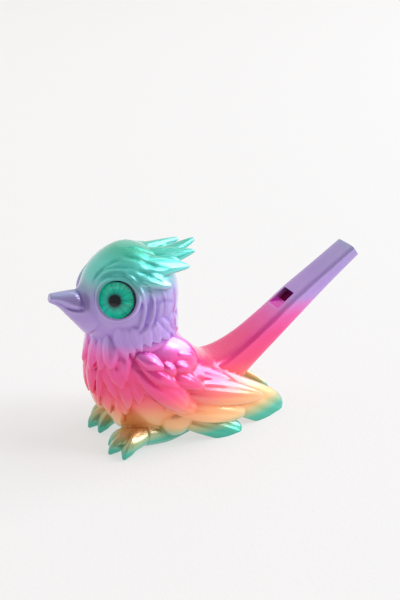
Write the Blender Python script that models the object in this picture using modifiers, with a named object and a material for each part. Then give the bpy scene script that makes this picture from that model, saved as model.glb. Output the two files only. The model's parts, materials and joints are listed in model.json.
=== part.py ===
"""Bird whistle: a perched, crested songbird printed in one piece and blown through its tail.

The bird faces -X and stands on its feet and wing tips on the plane Z = 0. Its plane of
symmetry is Y = 0. Sizes are in millimetres, and MM turns them into metres. Lengthwise
places are measured from the beak tip, and in_frame moves them to the part's own frame,
whose origin is the middle of the footprint. Paired forms are given for one side with Y
outwards, and are made on both.
"""

import math

import bmesh
import bpy
from mathutils import Matrix, Vector
from mathutils.bvhtree import BVHTree

MM = 0.001
OVERALL_LENGTH = 85.9
SIDES = (("left", -1), ("right", 1))

# The skin: forms are fused in two passes, a smooth core first and the relief over it.
CORE_VOXEL = 0.9
CORE_SMOOTHING = 12
SKIN_VOXEL = 0.4
SKIN_SMOOTHING = 2
SKIN_SHARE_KEPT = 0.068
BED_DEPTH = 8.0

# Head and torso: level, front, rear and half width of each horizontal section.
CORE_SECTIONS = (
    (2.0, 19.0, 33.0, 5.0),
    (4.0, 15.5, 38.0, 8.2),
    (7.5, 13.6, 42.5, 10.4),
    (12.0, 11.4, 44.5, 11.8),
    (17.0, 9.8, 43.5, 12.4),
    (22.5, 9.3, 37.0, 12.0),
    (27.0, 10.0, 33.4, 11.2),
    (31.0, 9.8, 31.8, 10.7),
    (35.0, 8.4, 32.2, 11.0),
    (40.0, 8.0, 32.8, 11.2),
    (44.5, 8.6, 32.0, 10.9),
    (48.5, 11.0, 29.4, 9.2),
    (51.4, 14.6, 25.5, 6.0),
)
CORE_NARROWING = 0.12
CORE_BOTTOM = 1.0
CORE_TOP = 52.9

# Beak, from its blunt tip into the face: place, height, half depth and half width.
BEAK_SECTIONS = (
    (-0.27, 42.2, 1.25, 1.2),
    (3.2, 41.3, 2.1, 1.9),
    (6.6, 39.7, 4.0, 3.3),
    (11.0, 37.8, 6.8, 6.0),
)

# Tail tube, from the rump to the mouthpiece: place, height, half depth and half width.
TAIL_SECTIONS = (
    (34.0, 10.8, 8.0, 8.6),
    (44.5, 13.6, 5.4, 6.1),
    (52.4, 17.9, 3.9, 4.9),
    (60.6, 23.7, 3.3, 4.4),
    (68.4, 29.7, 2.95, 4.2),
    (76.5, 35.5, 2.4, 3.9),
    (86.6, 42.6, 1.8, 3.8),
)
TAIL_SQUARENESS = 3.4
TAIL_END = 84.77

# Whistle: a slot from the mouthpiece to a window, and the chamber behind its edge.
WALL = 1.2
WINDWAY_HEIGHT = 1.1
WINDWAY_HALF_WIDTH = 2.4
WINDWAY_ROOF = 0.9
WINDWAY_LENGTH = 16.5
WINDOW_STEP = TAIL_END - WINDWAY_LENGTH
WINDOW_LENGTH = 3.0
RAMP_LENGTH = 4.2
CHAMBER_END = 36.0

# Eyes: a domed glass cabochon over a printed iris disc, in a round socket with a raised lid.
EYE_DIAMETER = 10.0
EYE_HEIGHT = 3.6
EYE_EDGE = 0.9
EYE_SINK = 2.3
IRIS_DIAMETER = EYE_DIAMETER - 0.4
IRIS_THICKNESS = 0.4
SEAT_GAP = 0.25
EYE_PLACE = (14.3, 8.6, 42.4)
EYE_FORWARD_DEG = 31.0
EYE_UP_DEG = 21.0
LID_RADIUS = EYE_DIAMETER / 2 - 0.3
LID_THICKNESS = 1.8
LIP_RADIUS = EYE_DIAMETER / 2 - 0.5
LIP_RISE = 0.9
SOCKET_REACH = 6.0

# Free feathers: base, tip, width, thickness, bow outwards, roundness of the tip from 0 to 1.
WING_FEATHERS = (
    ((25.0, 8.5, 21.0), (62.7, 4.7, -1.7), 10.7, 2.8, 2.2, 0.95),
    ((26.0, 10.6, 17.0), (54.4, 8.4, 7.0), 7.0, 2.4, 1.8, 0.7),
    ((25.0, 11.0, 13.5), (47.8, 10.2, 4.4), 7.6, 2.4, 1.6, 0.9),
    ((27.0, 8.2, 8.8), (46.4, 10.5, -1.1), 6.8, 3.0, 0.8, 1.0),
    ((17.0, 9.8, 21.5), (38.0, 11.2, 5.8), 6.5, 2.6, 2.0, 0.3),
    ((18.0, 10.0, 24.5), (30.3, 12.6, 11.6), 8.0, 3.4, 1.6, 1.0),
    ((19.0, 10.6, 25.0), (27.6, 13.0, 17.6), 4.4, 2.8, 1.2, 0.2),
    ((18.0, 10.2, 27.6), (24.2, 12.6, 23.4), 3.6, 2.6, 0.8, 0.1),
    ((23.5, 10.2, 23.0), (36.0, 11.0, 14.4), 5.0, 2.8, 1.4, 0.4),
    ((28.0, 8.4, 20.6), (49.0, 7.4, 9.8), 6.4, 3.0, 1.4, 0.5),
)
COVERT_CURLS = (
    ((26.8, 10.4, 26.4), (32.8, 10.0, 24.2), 2.8, 2.4, 0.5, 0.8),
    ((26.4, 11.6, 24.0), (31.4, 11.6, 21.6), 3.2, 2.4, 0.5, 0.9),
    ((23.8, 11.8, 25.0), (26.8, 12.6, 21.8), 2.6, 2.2, 0.5, 1.0),
)
WING_OUTWARD = (0.0, 1.0, 0.5)
SHOULDER_CENTRE = (24.6, 7.6, 22.2)
SHOULDER_SIZE = (10.6, 5.2, 8.3)

CREST_CENTRE_FEATHER = ((14.0, 0.0, 51.2), (38.3, 0.0, 51.0), 6.2, 3.0, -2.0, 0.4)
CREST_FEATHERS = (
    ((15.6, 3.0, 50.3), (36.2, 4.9, 49.8), 6.4, 3.0, -0.9, 0.25),
    ((15.8, 5.8, 48.6), (33.6, 7.2, 46.9), 6.2, 3.0, 0.9, 0.3),
    ((17.4, 8.0, 46.8), (27.2, 10.5, 44.0), 4.4, 2.4, 1.1, 0.9),
)
CREST_OUTWARD = (0.1, 0.7, 1.0)

# Relief on the skin, by angle round from the front and level: start, end, width, thickness,
# lift of the tip, roundness of the tip.
BREAST_FEATHERS = (
    ((39, 32.5), (37, 24.4), 4.6, 2.6, 1.2, 1.0),
    ((26, 31.0), (24, 23.4), 4.2, 2.2, 0.9, 0.5),
    ((12, 31.0), (9, 22.6), 4.4, 2.2, 0.9, 0.5),
    ((53, 30.0), (50, 21.6), 4.4, 2.2, 0.9, 0.4),
    ((24, 26.5), (11, 13.6), 1.8, 2.4, 1.3, 0.6),
    ((42, 28.0), (41, 19.6), 5.4, 2.4, 1.1, 0.4),
    ((31, 26.0), (28, 15.8), 4.6, 2.2, 0.8, 0.3),
    ((7, 26.0), (5, 15.4), 4.2, 2.2, 1.0, 0.3),
    ((44, 23.5), (36, 13.0), 4.2, 2.4, 1.2, 0.1),
    ((58, 24.0), (47, 14.4), 4.6, 2.2, 0.9, 0.2),
    ((18, 20.0), (15, 10.2), 4.4, 2.0, 0.8, 0.3),
    ((29, 18.0), (23, 7.4), 2.4, 2.0, 1.0, 1.0),
    ((36, 19.5), (31, 10.6), 4.2, 2.0, 0.8, 0.2),
    ((4, 18.5), (3, 10.6), 3.4, 1.8, 0.7, 0.4),
)
NECK_FEATHERS = (
    ((54, 35.0), (60, 26.8), 3.0, 2.0, 1.6, 0.0),
    ((64, 35.0), (69, 27.9), 2.6, 2.0, 1.6, 0.0),
    ((74, 35.5), (79, 28.8), 2.8, 2.0, 1.6, 0.0),
    ((85, 36.0), (91, 29.6), 3.0, 2.0, 1.4, 0.1),
    ((98, 36.5), (103, 30.2), 3.2, 1.8, 0.9, 0.6),
    ((112, 36.5), (118, 30.2), 3.4, 1.8, 0.8, 0.6),
    ((128, 36.5), (134, 30.0), 3.6, 1.8, 0.6, 0.4),
    ((146, 36.5), (150, 30.0), 3.8, 1.6, 0.5, 0.3),
)

# Ridges on the head: places by angle round from the front and level, and thickness. The
# first bounds the bare face round the eye.
HEAD_RIDGES = (
    (((64, 48.6), (78, 46.8), (86, 43.6), (88, 39.9), (85, 36.0), (77, 32.8), (66, 31.0)), 1.6),
    (((95, 44.4), (100, 41.3), (99, 37.5), (93, 33.4)), 1.3),
    (((112, 44.0), (117, 40.4), (115, 36.6)), 1.1),
)

# Feet: toes fan out from the ankle, and the sole tapers back to a heel under the belly.
ANKLE = (20.5, 7.2, 3.4)
TOES = ((12.4, 3.4), (10.9, 7.3), (13.2, 11.4))
TOE_RADIUS = 2.1
HEEL = (35.0, 4.6, 0.4)
THIGH_CENTRE = (29.0, 7.4, 7.0)
THIGH_SIZE = (5.0, 4.6, 5.2)


def in_frame(point):
    """A point in millimetres from the beak tip, as a place in the part's own frame."""
    x, y, z = point
    return Vector((x - OVERALL_LENGTH / 2, y, z)) * MM


def add_object(name, mesh, collection):
    obj = bpy.data.objects.new(name, mesh)
    collection.objects.link(obj)
    return obj


def loft(bm, rings):
    """Joins closed rings of equal count into one tube and closes both of its ends."""
    rows = [[bm.verts.new(in_frame(p)) for p in ring] for ring in rings]
    count = len(rows[0])
    for row, following in zip(rows, rows[1:]):
        for i in range(count):
            j = (i + 1) % count
            bm.faces.new((row[i], row[j], following[j], following[i]))
    bm.faces.new(rows[0][::-1])
    bm.faces.new(rows[-1])


def superellipse(count, power=2.0):
    """Points of a unit superellipse; a power of 2 is a circle and more is squarer."""
    points = []
    for i in range(count):
        angle = 2 * math.pi * i / count
        c, s = math.cos(angle), math.sin(angle)
        points.append(
            (
                math.copysign(abs(c) ** (2 / power), c),
                math.copysign(abs(s) ** (2 / power), s),
            )
        )
    return points


def smooth_row(rows, share):
    """A row of values read at a share of the way along a table, on a Catmull-Rom curve."""
    span = share * (len(rows) - 1)
    i = min(int(span), len(rows) - 2)
    t = span - i
    before, a = rows[max(i - 1, 0)], rows[i]
    b, after = rows[i + 1], rows[min(i + 2, len(rows) - 1)]
    values = []
    for p, q, r, s in zip(before, a, b, after):
        square = 2 * p - 5 * q + 4 * r - s
        cube = 3 * q - p - 3 * r + s
        values.append(0.5 * (2 * q + (r - p) * t + square * t**2 + cube * t**3))
    return values


def core_form(bm):
    """Head and torso, as a stack of horizontal ellipses."""
    steps = 4 * (len(CORE_SECTIONS) - 1)
    rows = [smooth_row(CORE_SECTIONS, i / steps) for i in range(steps + 1)]
    low, high = rows[0], rows[-1]
    rows.insert(0, (CORE_BOTTOM, low[1] + low[3], low[2] - low[3], low[3] / 2))
    rows.append((CORE_TOP, high[1] + high[3] / 2, high[2] - high[3] / 2, high[3] / 2))
    rings = []
    for level, front, rear, half_width in rows:
        middle, half_length = (front + rear) / 2, (rear - front) / 2
        rings.append(
            [
                (
                    middle + half_length * c,
                    half_width * s * (1 + CORE_NARROWING * c),
                    level,
                )
                for c, s in superellipse(40)
            ]
        )
    loft(bm, rings)


def row_frame(rows, i):
    """Direction and upward normal of a path in the plane of symmetry, at row i."""
    ahead, behind = rows[min(i + 1, len(rows) - 1)], rows[max(i - 1, 0)]
    direction = Vector((ahead[0] - behind[0], 0, ahead[1] - behind[1])).normalized()
    return direction, Vector((-direction.z, 0, direction.x))


def path_rings(rows, power, count=28):
    """Rings across a path, from rows of x, z, half depth and half width."""
    rings = []
    for i, (x, z, half_depth, half_width) in enumerate(rows):
        up = row_frame(rows, i)[1]
        rings.append(
            [
                Vector((x, 0, z)) + up * half_depth * s + Vector((0, half_width * c, 0))
                for c, s in superellipse(count, power)
            ]
        )
    return rings


def beak_form(bm):
    steps = 12
    loft(bm, path_rings([smooth_row(BEAK_SECTIONS, i / steps) for i in range(steps + 1)], 2.0))


def tail_rows(start, end, steps=30):
    """Rows of the tail between two places along X."""
    rows = [smooth_row(TAIL_SECTIONS, i / 200) for i in range(201)]
    picked = []
    for i in range(steps + 1):
        x = start + (end - start) * i / steps
        picked.append(min(rows, key=lambda row: abs(row[0] - x)))
    return picked


def tail_form(bm):
    loft(bm, path_rings(tail_rows(TAIL_SECTIONS[0][0], TAIL_SECTIONS[-1][0]), TAIL_SQUARENESS))


def blade_share(t, roundness):
    """Width of a feather at t, as a share of its widest: a swelling root and a closing tip."""
    if t < 0.45:
        return 0.45 + 0.55 * math.sin(math.pi / 2 * t / 0.45)
    closing = (t - 0.45) / 0.55
    return roundness * math.sqrt(1 - closing**2) + (1 - roundness) * (1 - closing**1.3)


def blade_rings(centres, outwards, width, thickness, roundness):
    """Lens-shaped rings along a feather's line."""
    rings = []
    last = len(centres) - 1
    for i, (centre, outward) in enumerate(zip(centres, outwards)):
        direction = (centres[min(i + 1, last)] - centres[max(i - 1, 0)]).normalized()
        side = direction.cross(outward).normalized()
        face = side.cross(direction)
        share = max(blade_share(0.985 * i / last, roundness), 0.08)
        rings.append(
            [
                centre + side * width / 2 * share * c + face * thickness / 2 * share**0.5 * s
                for c, s in superellipse(14)
            ]
        )
    return rings


def feather_form(bm, base, tip, width, thickness, bow, roundness, outward, steps=14):
    """A free feather on a line bowed outwards between its base and its tip."""
    base, tip, outward = Vector(base), Vector(tip), Vector(outward).normalized()
    middle = (base + tip) / 2 + outward * bow * 2
    centres = []
    for i in range(steps + 1):
        t = i / steps
        centres.append(base * (1 - t) ** 2 + middle * 2 * t * (1 - t) + tip * t**2)
    loft(bm, blade_rings(centres, [outward] * len(centres), width, thickness, roundness))


def mirrored(point, side):
    return Vector((point[0], point[1] * side, point[2]))


def ball_form(bm, centre, size):
    """An ellipsoid from its centre and its three half sizes."""
    place = Matrix.Translation(in_frame(centre)) @ Matrix.Diagonal((*Vector(size) * MM, 1))
    bmesh.ops.create_uvsphere(bm, u_segments=28, v_segments=18, radius=1, matrix=place)


def limb_form(bm, points, radii, steps=12):
    """A round limb through points, with its radius read along the same curve."""
    rows = [(*point, radius) for point, radius in zip(points, radii)]
    rows = [smooth_row(rows, i / steps) for i in range(steps + 1)]
    centres = [Vector(row[:3]) for row in rows]
    rings = []
    for i, centre in enumerate(centres):
        direction = (centres[min(i + 1, steps)] - centres[max(i - 1, 0)]).normalized()
        side = direction.cross(Vector((0, 0, 1))).normalized()
        up = side.cross(direction)
        radius = rows[i][3]
        rings.append([centre + (side * c + up * s) * radius for c, s in superellipse(16)])
    loft(bm, rings)


class Skin:
    """The fused core's surface, on which the relief is laid."""

    def __init__(self, mesh):
        bm = bmesh.new()
        bm.from_mesh(mesh)
        self.tree = BVHTree.FromBMesh(bm)
        bm.free()

    def point(self, angle_deg, level, side):
        """Place and outward normal at an angle round from the front and a level."""
        rows = [smooth_row(CORE_SECTIONS, i / 100) for i in range(101)]
        row = min(rows, key=lambda entry: abs(entry[0] - level))
        angle = math.radians(angle_deg)
        axis = Vector(((row[1] + row[2]) / 2, 0, level))
        out = Vector((-math.cos(angle), side * math.sin(angle), 0))
        return self.hit(axis + out * 40, -out)

    def hit(self, start, direction):
        """Where a ray from a place in millimetres meets the core, and the normal there."""
        place, normal, _, _ = self.tree.ray_cast(in_frame(start), direction)
        place = place / MM
        return Vector((place.x + OVERALL_LENGTH / 2, place.y, place.z)), normal


def laid_feather(bm, skin, side, start, end, width, thickness, lift, roundness, steps=12):
    """A feather laid on the skin, whose tip stands proud of it."""
    centres, outwards = [], []
    for i in range(steps + 1):
        t = i / steps
        angle = start[0] + (end[0] - start[0]) * t
        level = start[1] + (end[1] - start[1]) * t
        place, normal = skin.point(angle, level, side)
        centres.append(place + normal * (lift * t - thickness / 4 * (1 - t)))
        outwards.append(normal)
    loft(bm, blade_rings(centres, outwards, width, thickness, roundness))


def eye_frame(side):
    """Centre and axes of an eye: forwards round its rim, up round its rim, and outwards."""
    forward, up = math.radians(EYE_FORWARD_DEG), math.radians(EYE_UP_DEG)
    out = Vector(
        (-math.sin(forward) * math.cos(up), side * math.cos(forward) * math.cos(up), math.sin(up))
    )
    upward = (Vector((0, 0, 1)) - out * out.z).normalized()
    return mirrored(EYE_PLACE, side), upward.cross(out) * side, upward, out


def eye_matrix(side, depth):
    """Places a shape turned about Z so that Z points out of the eye, sunk by a depth."""
    centre, across, upward, out = eye_frame(side)
    across = upward.cross(out)
    turn = Matrix((across, upward, out)).transposed().to_4x4()
    return Matrix.Translation(in_frame(centre - out * depth)) @ turn


def lid_form(bm, side, turns=40):
    """The raised ring round an eye."""
    centre, forward, upward, out = eye_frame(side)
    rows = []
    for i in range(turns):
        angle = 2 * math.pi * i / turns
        radial = forward * math.cos(angle) + upward * math.sin(angle)
        middle = centre + radial * LID_RADIUS
        ring = [
            middle + (radial * c + out * s * 0.9) * LID_THICKNESS / 2
            for c, s in superellipse(12)
        ]
        rows.append([bm.verts.new(in_frame(p)) for p in ring])
    for row, following in zip(rows, rows[1:] + rows[:1]):
        for j in range(len(row)):
            k = (j + 1) % len(row)
            bm.faces.new((row[j], row[k], following[k], following[j]))


def head_ridges(bm, skin, side):
    """The rim of the bare face and the crescents behind it."""
    for path, thickness in HEAD_RIDGES:
        rows = [smooth_row(path, i / 20) for i in range(21)]
        hits = [skin.point(angle, level, side) for angle, level in rows]
        loft(bm, ridge_rings(*zip(*hits), thickness))


def ridge_rings(centres, outwards, thickness):
    """Rings of a ridge that swells from nothing to its thickness and back."""
    rings = []
    last = len(centres) - 1
    for i, (centre, outward) in enumerate(zip(centres, outwards)):
        direction = (centres[min(i + 1, last)] - centres[max(i - 1, 0)]).normalized()
        side = direction.cross(outward).normalized()
        radius = thickness / 2 * max(math.sin(math.pi * (0.04 + 0.92 * i / last)), 0.1) ** 0.6
        rings.append(
            [centre + (side * c + outward * s) * radius for c, s in superellipse(10)]
        )
    return rings


def feet_forms(bm):
    for _, side in SIDES:
        ankle, heel = mirrored(ANKLE, side), mirrored(HEEL, side)
        for x, y in TOES:
            tip = mirrored((x, y, 0.3), side)
            reach = ankle - tip
            knuckle = tip + reach * 0.42 + Vector((0, 0, 1.5))
            claw = tip + reach * 0.16 + Vector((0, 0, 0.9))
            limb_form(
                bm,
                (ankle, knuckle, claw, tip),
                (TOE_RADIUS * 1.25, TOE_RADIUS, TOE_RADIUS * 0.72, 0.35),
            )
        limb_form(bm, (ankle, (ankle + heel) / 2, heel), (TOE_RADIUS * 1.4, TOE_RADIUS * 1.3, 0.8))
        ball_form(bm, mirrored(THIGH_CENTRE, side), THIGH_SIZE)


def relief_forms(bm, skin):
    """Everything that stands on the core: feathers, crest, lids and feet."""
    base, tip, width, thickness, bow, roundness = CREST_CENTRE_FEATHER
    feather_form(bm, base, tip, width, thickness, bow, roundness, (0, 0, 1))
    for _, side in SIDES:
        for base, tip, width, thickness, bow, roundness in WING_FEATHERS + COVERT_CURLS:
            outward = mirrored(WING_OUTWARD, side)
            base, tip = mirrored(base, side), mirrored(tip, side)
            feather_form(bm, base, tip, width, thickness, bow, roundness, outward)
        for base, tip, width, thickness, bow, roundness in CREST_FEATHERS:
            outward = mirrored(CREST_OUTWARD, side)
            base, tip = mirrored(base, side), mirrored(tip, side)
            feather_form(bm, base, tip, width, thickness, bow, roundness, outward)
        for feather in BREAST_FEATHERS + NECK_FEATHERS:
            laid_feather(bm, skin, side, *feather)
        ball_form(bm, mirrored(SHOULDER_CENTRE, side), SHOULDER_SIZE)
        lid_form(bm, side)
        head_ridges(bm, skin, side)
    feet_forms(bm)


def fuse(obj, voxel, smoothing):
    """Modifiers that draw one skin over overlapping forms and soften it."""
    remesh = obj.modifiers.new("fuse", "REMESH")
    remesh.mode = "VOXEL"
    remesh.voxel_size = voxel * MM
    smooth = obj.modifiers.new("soften", "SMOOTH")
    smooth.factor = 0.5
    smooth.iterations = smoothing


def mesh_of(name, *makers, carried=None):
    """A mesh holding the shapes that the makers add, and one that is carried over."""
    bm = bmesh.new()
    if carried is not None:
        bm.from_mesh(carried)
    for maker in makers:
        maker(bm)
    bmesh.ops.recalc_face_normals(bm, faces=bm.faces)
    mesh = bpy.data.meshes.new(name)
    bm.to_mesh(mesh)
    bm.free()
    return mesh


def evaluated_mesh(obj):
    """The object's mesh with its modifiers applied. The object is removed."""
    bpy.context.view_layer.update()
    graph = bpy.context.evaluated_depsgraph_get()
    mesh = bpy.data.meshes.new_from_object(obj.evaluated_get(graph))
    bpy.data.objects.remove(obj)
    return mesh


def cut(body, name, mesh, cutters):
    """Cuts a helper shape out of the body."""
    cutter = add_object(name, mesh, cutters)
    cutter.hide_render = True
    cutter.display_type = "WIRE"
    boolean = body.modifiers.new(name, "BOOLEAN")
    boolean.operation = "DIFFERENCE"
    boolean.object = cutter


def bed_cutter(bm):
    """All that would lie under the print bed, so that soles and wing tips are flat."""
    size = Matrix.Diagonal((2 * OVERALL_LENGTH * MM, OVERALL_LENGTH * MM, BED_DEPTH * MM, 1))
    bmesh.ops.create_cube(bm, size=1, matrix=Matrix.Translation((0, 0, -BED_DEPTH * MM / 2)) @ size)


def tail_place(x):
    """Centre, direction, upward normal, half depth and half width of the tail at x."""
    rows = tail_rows(x - 1, x + 1, 2)
    direction, up = row_frame(rows, 1)
    return Vector((rows[1][0], 0, rows[1][1])), direction, up, rows[1][2], rows[1][3]


def end_cutter(bm):
    """Squares off the mouthpiece."""
    centre, direction, up, half_depth, half_width = tail_place(TAIL_END)
    rings = []
    for reach in (0.0, 8.0):
        middle = centre + direction * reach
        rings.append(square_ring(middle, up, half_depth * 3, half_width * 2))
    loft(bm, rings)


def square_ring(middle, up, half_depth, half_width):
    across = Vector((0, 1, 0))
    corners = ((1, 1), (-1, 1), (-1, -1), (1, -1))
    return [middle + across * half_width * c + up * half_depth * s for c, s in corners]


def windway_cutter(bm):
    """A flat slot under the tail's upper face, from the mouthpiece to the window."""
    rings = []
    for x in (WINDOW_STEP - 0.5, TAIL_END + 1.5):
        centre, _, up, half_depth, _ = tail_place(x)
        middle = centre + up * (half_depth - WINDWAY_ROOF - WINDWAY_HEIGHT / 2)
        rings.append(square_ring(middle, up, WINDWAY_HEIGHT / 2, WINDWAY_HALF_WIDTH))
    loft(bm, rings)


def window_cutter(bm):
    """A notch in the upper face: a square step, the window, and the ramp to its edge."""
    centre, direction, up, half_depth, _ = tail_place(WINDOW_STEP)
    roof, edge = half_depth + 3, half_depth - WALL
    slope = WALL / RAMP_LENGTH
    profile = (
        (0, roof),
        (0, edge - WINDWAY_HEIGHT / 2),
        (-WINDOW_LENGTH, edge - WINDWAY_HEIGHT / 2),
        (-WINDOW_LENGTH, edge),
        (-WINDOW_LENGTH - 3 / slope, edge + 3),
        (-WINDOW_LENGTH - 3 / slope, roof),
    )
    rings = []
    for across in (-WINDWAY_HALF_WIDTH, WINDWAY_HALF_WIDTH):
        rings.append(
            [centre + direction * s + up * h + Vector((0, across, 0)) for s, h in profile]
        )
    loft(bm, rings)


def chamber_cutter(bm):
    """The sounding chamber: the inside of the tail, from the window down into the rump."""
    rows = []
    for x, z, half_depth, half_width in tail_rows(CHAMBER_END, WINDOW_STEP, 24):
        rows.append((x, z, half_depth - WALL, half_width - WALL))
    first = rows[0]
    rows.insert(0, (first[0] - 2.2, first[1] - 0.8, first[2] * 0.55, first[3] * 0.55))
    loft(bm, path_rings(rows, 2.4, 20))


def socket_cutter(bm, side, turns=48):
    """The round seat for an eye and its iris disc, with a lip that holds the glass in."""
    depth = EYE_SINK + SEAT_GAP * 2 + IRIS_THICKNESS
    seat = EYE_DIAMETER / 2 + SEAT_GAP
    lip = depth - EYE_SINK + EYE_EDGE + SEAT_GAP
    profile = ((seat, 0.0), (seat, lip), (LIP_RADIUS, lip + LIP_RISE), (LIP_RADIUS, SOCKET_REACH))
    place = eye_matrix(side, depth)
    rows = []
    for radius, height in profile:
        ring = []
        for i in range(turns):
            angle = 2 * math.pi * i / turns
            point = Vector((radius * math.cos(angle), radius * math.sin(angle), height))
            ring.append(bm.verts.new(place @ (point * MM)))
        rows.append(ring)
    for row, following in zip(rows, rows[1:]):
        for i in range(turns):
            j = (i + 1) % turns
            bm.faces.new((row[i], row[j], following[j], following[i]))
    bm.faces.new(rows[0][::-1])
    bm.faces.new(rows[-1])


def add_body(parts, cutters):
    core = add_object("core", mesh_of("core", core_form, beak_form, tail_form), parts)
    fuse(core, CORE_VOXEL, CORE_SMOOTHING)
    core_mesh = evaluated_mesh(core)
    skin = Skin(core_mesh)
    mesh = mesh_of("whistle_body", lambda bm: relief_forms(bm, skin), carried=core_mesh)
    body = add_object("whistle_body", mesh, parts)
    fuse(body, SKIN_VOXEL, SKIN_SMOOTHING)
    thin = body.modifiers.new("thin_out", "DECIMATE")
    thin.ratio = SKIN_SHARE_KEPT
    cut(body, "print_bed", mesh_of("print_bed", bed_cutter), cutters)
    cut(body, "mouth_end", mesh_of("mouth_end", end_cutter), cutters)
    cut(body, "chamber", mesh_of("chamber", chamber_cutter), cutters)
    cut(body, "windway", mesh_of("windway", windway_cutter), cutters)
    cut(body, "window", mesh_of("window", window_cutter), cutters)
    for name, side in SIDES:
        seat = mesh_of(f"{name}_socket", lambda bm: socket_cutter(bm, side))
        cut(body, f"{name}_socket", seat, cutters)
    return body


def add_eye(name, side, parts):
    """A cabochon turned from its profile, and the disc behind it."""
    disc_depth = EYE_SINK + SEAT_GAP + IRIS_THICKNESS
    bm = bmesh.new()
    bmesh.ops.create_cone(
        bm,
        cap_ends=True,
        segments=48,
        radius1=IRIS_DIAMETER / 2 * MM,
        radius2=IRIS_DIAMETER / 2 * MM,
        depth=IRIS_THICKNESS * MM,
        matrix=Matrix.Translation((0, 0, IRIS_THICKNESS / 2 * MM)),
    )
    disc_mesh = bpy.data.meshes.new(f"{name}_iris")
    bm.to_mesh(disc_mesh)
    bm.free()
    disc = add_object(f"{name}_iris", disc_mesh, parts)
    disc.matrix_world = eye_matrix(side, disc_depth)

    radius, rise = EYE_DIAMETER / 2, EYE_HEIGHT - EYE_EDGE
    ball = (radius**2 + rise**2) / (2 * rise)
    reach = math.asin(radius / ball)
    profile = []
    for i in range(9):
        angle = reach * i / 8
        profile.append((ball * math.sin(angle), EYE_HEIGHT - ball * (1 - math.cos(angle))))
    profile += [(radius, 0.2), (radius - 0.2, 0.0), (0.0, 0.0)]
    mesh = bpy.data.meshes.new(f"{name}_eye_dome")
    edges = [(i, i + 1) for i in range(len(profile) - 1)]
    mesh.from_pydata([(x * MM, 0, z * MM) for x, z in profile], edges, [])
    eye = add_object(f"{name}_eye_dome", mesh, parts)
    turn = eye.modifiers.new("turn", "SCREW")
    turn.steps = 32
    turn.render_steps = 32
    turn.use_merge_vertices = True
    turn.merge_threshold = 0.00001
    eye.matrix_world = eye_matrix(side, EYE_SINK)
    return disc, eye


def main():
    for obj in list(bpy.data.objects):
        bpy.data.objects.remove(obj)
    parts = bpy.data.collections.new("bird_whistle")
    cutters = bpy.data.collections.new("cutters")
    for collection in (parts, cutters):
        bpy.context.scene.collection.children.link(collection)
    add_body(parts, cutters)
    for name, side in SIDES:
        add_eye(name, side, parts)


main()
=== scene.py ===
"""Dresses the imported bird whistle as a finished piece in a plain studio.

The whistle is a crested songbird printed in one piece of silky plastic, whose colour
drifts from teal at the feet to teal at the crest, with a pair of domed glass eyes. The
bird faces -X, its left side is -Y and it stands on the plane Z = 0. Sizes are in
millimetres, and MM turns them into metres. Lengthwise places are measured from the beak
tip, and in_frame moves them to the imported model's frame. Paired forms are given for one
side with Y outwards, and are made on both.
"""

import json
import logging
import math
from dataclasses import dataclass, field
from enum import Enum
from typing import Callable, Iterable, Sequence

import bmesh
import bpy
import numpy as np
from mathutils import Matrix, Vector
from mathutils.bvhtree import BVHTree

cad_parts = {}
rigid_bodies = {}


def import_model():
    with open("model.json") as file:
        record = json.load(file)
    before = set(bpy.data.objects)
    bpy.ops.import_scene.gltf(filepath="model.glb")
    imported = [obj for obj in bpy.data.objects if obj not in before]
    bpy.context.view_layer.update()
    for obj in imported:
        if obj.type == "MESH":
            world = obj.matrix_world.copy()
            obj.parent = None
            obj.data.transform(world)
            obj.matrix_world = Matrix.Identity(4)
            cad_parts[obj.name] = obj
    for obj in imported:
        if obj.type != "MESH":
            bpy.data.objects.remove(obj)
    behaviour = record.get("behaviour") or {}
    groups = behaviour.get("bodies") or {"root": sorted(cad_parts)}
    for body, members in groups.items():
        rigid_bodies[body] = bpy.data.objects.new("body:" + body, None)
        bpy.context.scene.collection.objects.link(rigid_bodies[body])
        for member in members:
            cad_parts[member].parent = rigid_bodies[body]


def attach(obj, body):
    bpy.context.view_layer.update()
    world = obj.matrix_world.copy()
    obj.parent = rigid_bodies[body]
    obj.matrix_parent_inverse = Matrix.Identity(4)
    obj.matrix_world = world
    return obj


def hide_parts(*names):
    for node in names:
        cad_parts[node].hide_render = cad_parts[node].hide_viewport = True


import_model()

LOG = logging.getLogger("bird_whistle")
MM = 0.001
OVERALL_LENGTH = 85.9
AIM_HEIGHT = 25.0

# Along a feather: where it is widest, its grooves, its narrowest share and where it ends.
WIDEST_AT = 0.45
GROOVE_WAVES = 3.5
LEAST_SHARE = 0.06
TIP_AT = 0.985
# Ridges and strokes swell and fade as this power of a sine.
SWELL_POWER = 0.6
SWELL_START = 0.04
STROKE_STEPS = 80
STROKE_REACH = 3

Row = Sequence[float]
Rings = list[list[Vector]]
Feather = tuple[Row, Row, float, float, float, float]
Stroke = tuple[float | Row, ...]


class Side(Enum):
    """One side of the bird, by the sign of Y there."""

    LEFT = -1
    RIGHT = 1

    @property
    def label(self) -> str:
        """The side's name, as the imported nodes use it."""
        return self.name.lower()


def in_frame(point: Row) -> Vector:
    """A point in millimetres from the beak tip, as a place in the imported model's frame.

    Args:
        point: X from the beak tip, Y from the plane of symmetry and Z from the table.

    Returns:
        The place in metres.
    """
    return Vector((point[0] - OVERALL_LENGTH / 2, point[1], point[2])) * MM


def mirrored(point: Row, side: Side) -> Vector:
    """A point given with Y outwards, on one side of the bird."""
    return Vector((point[0], point[1] * side.value, point[2]))


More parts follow.
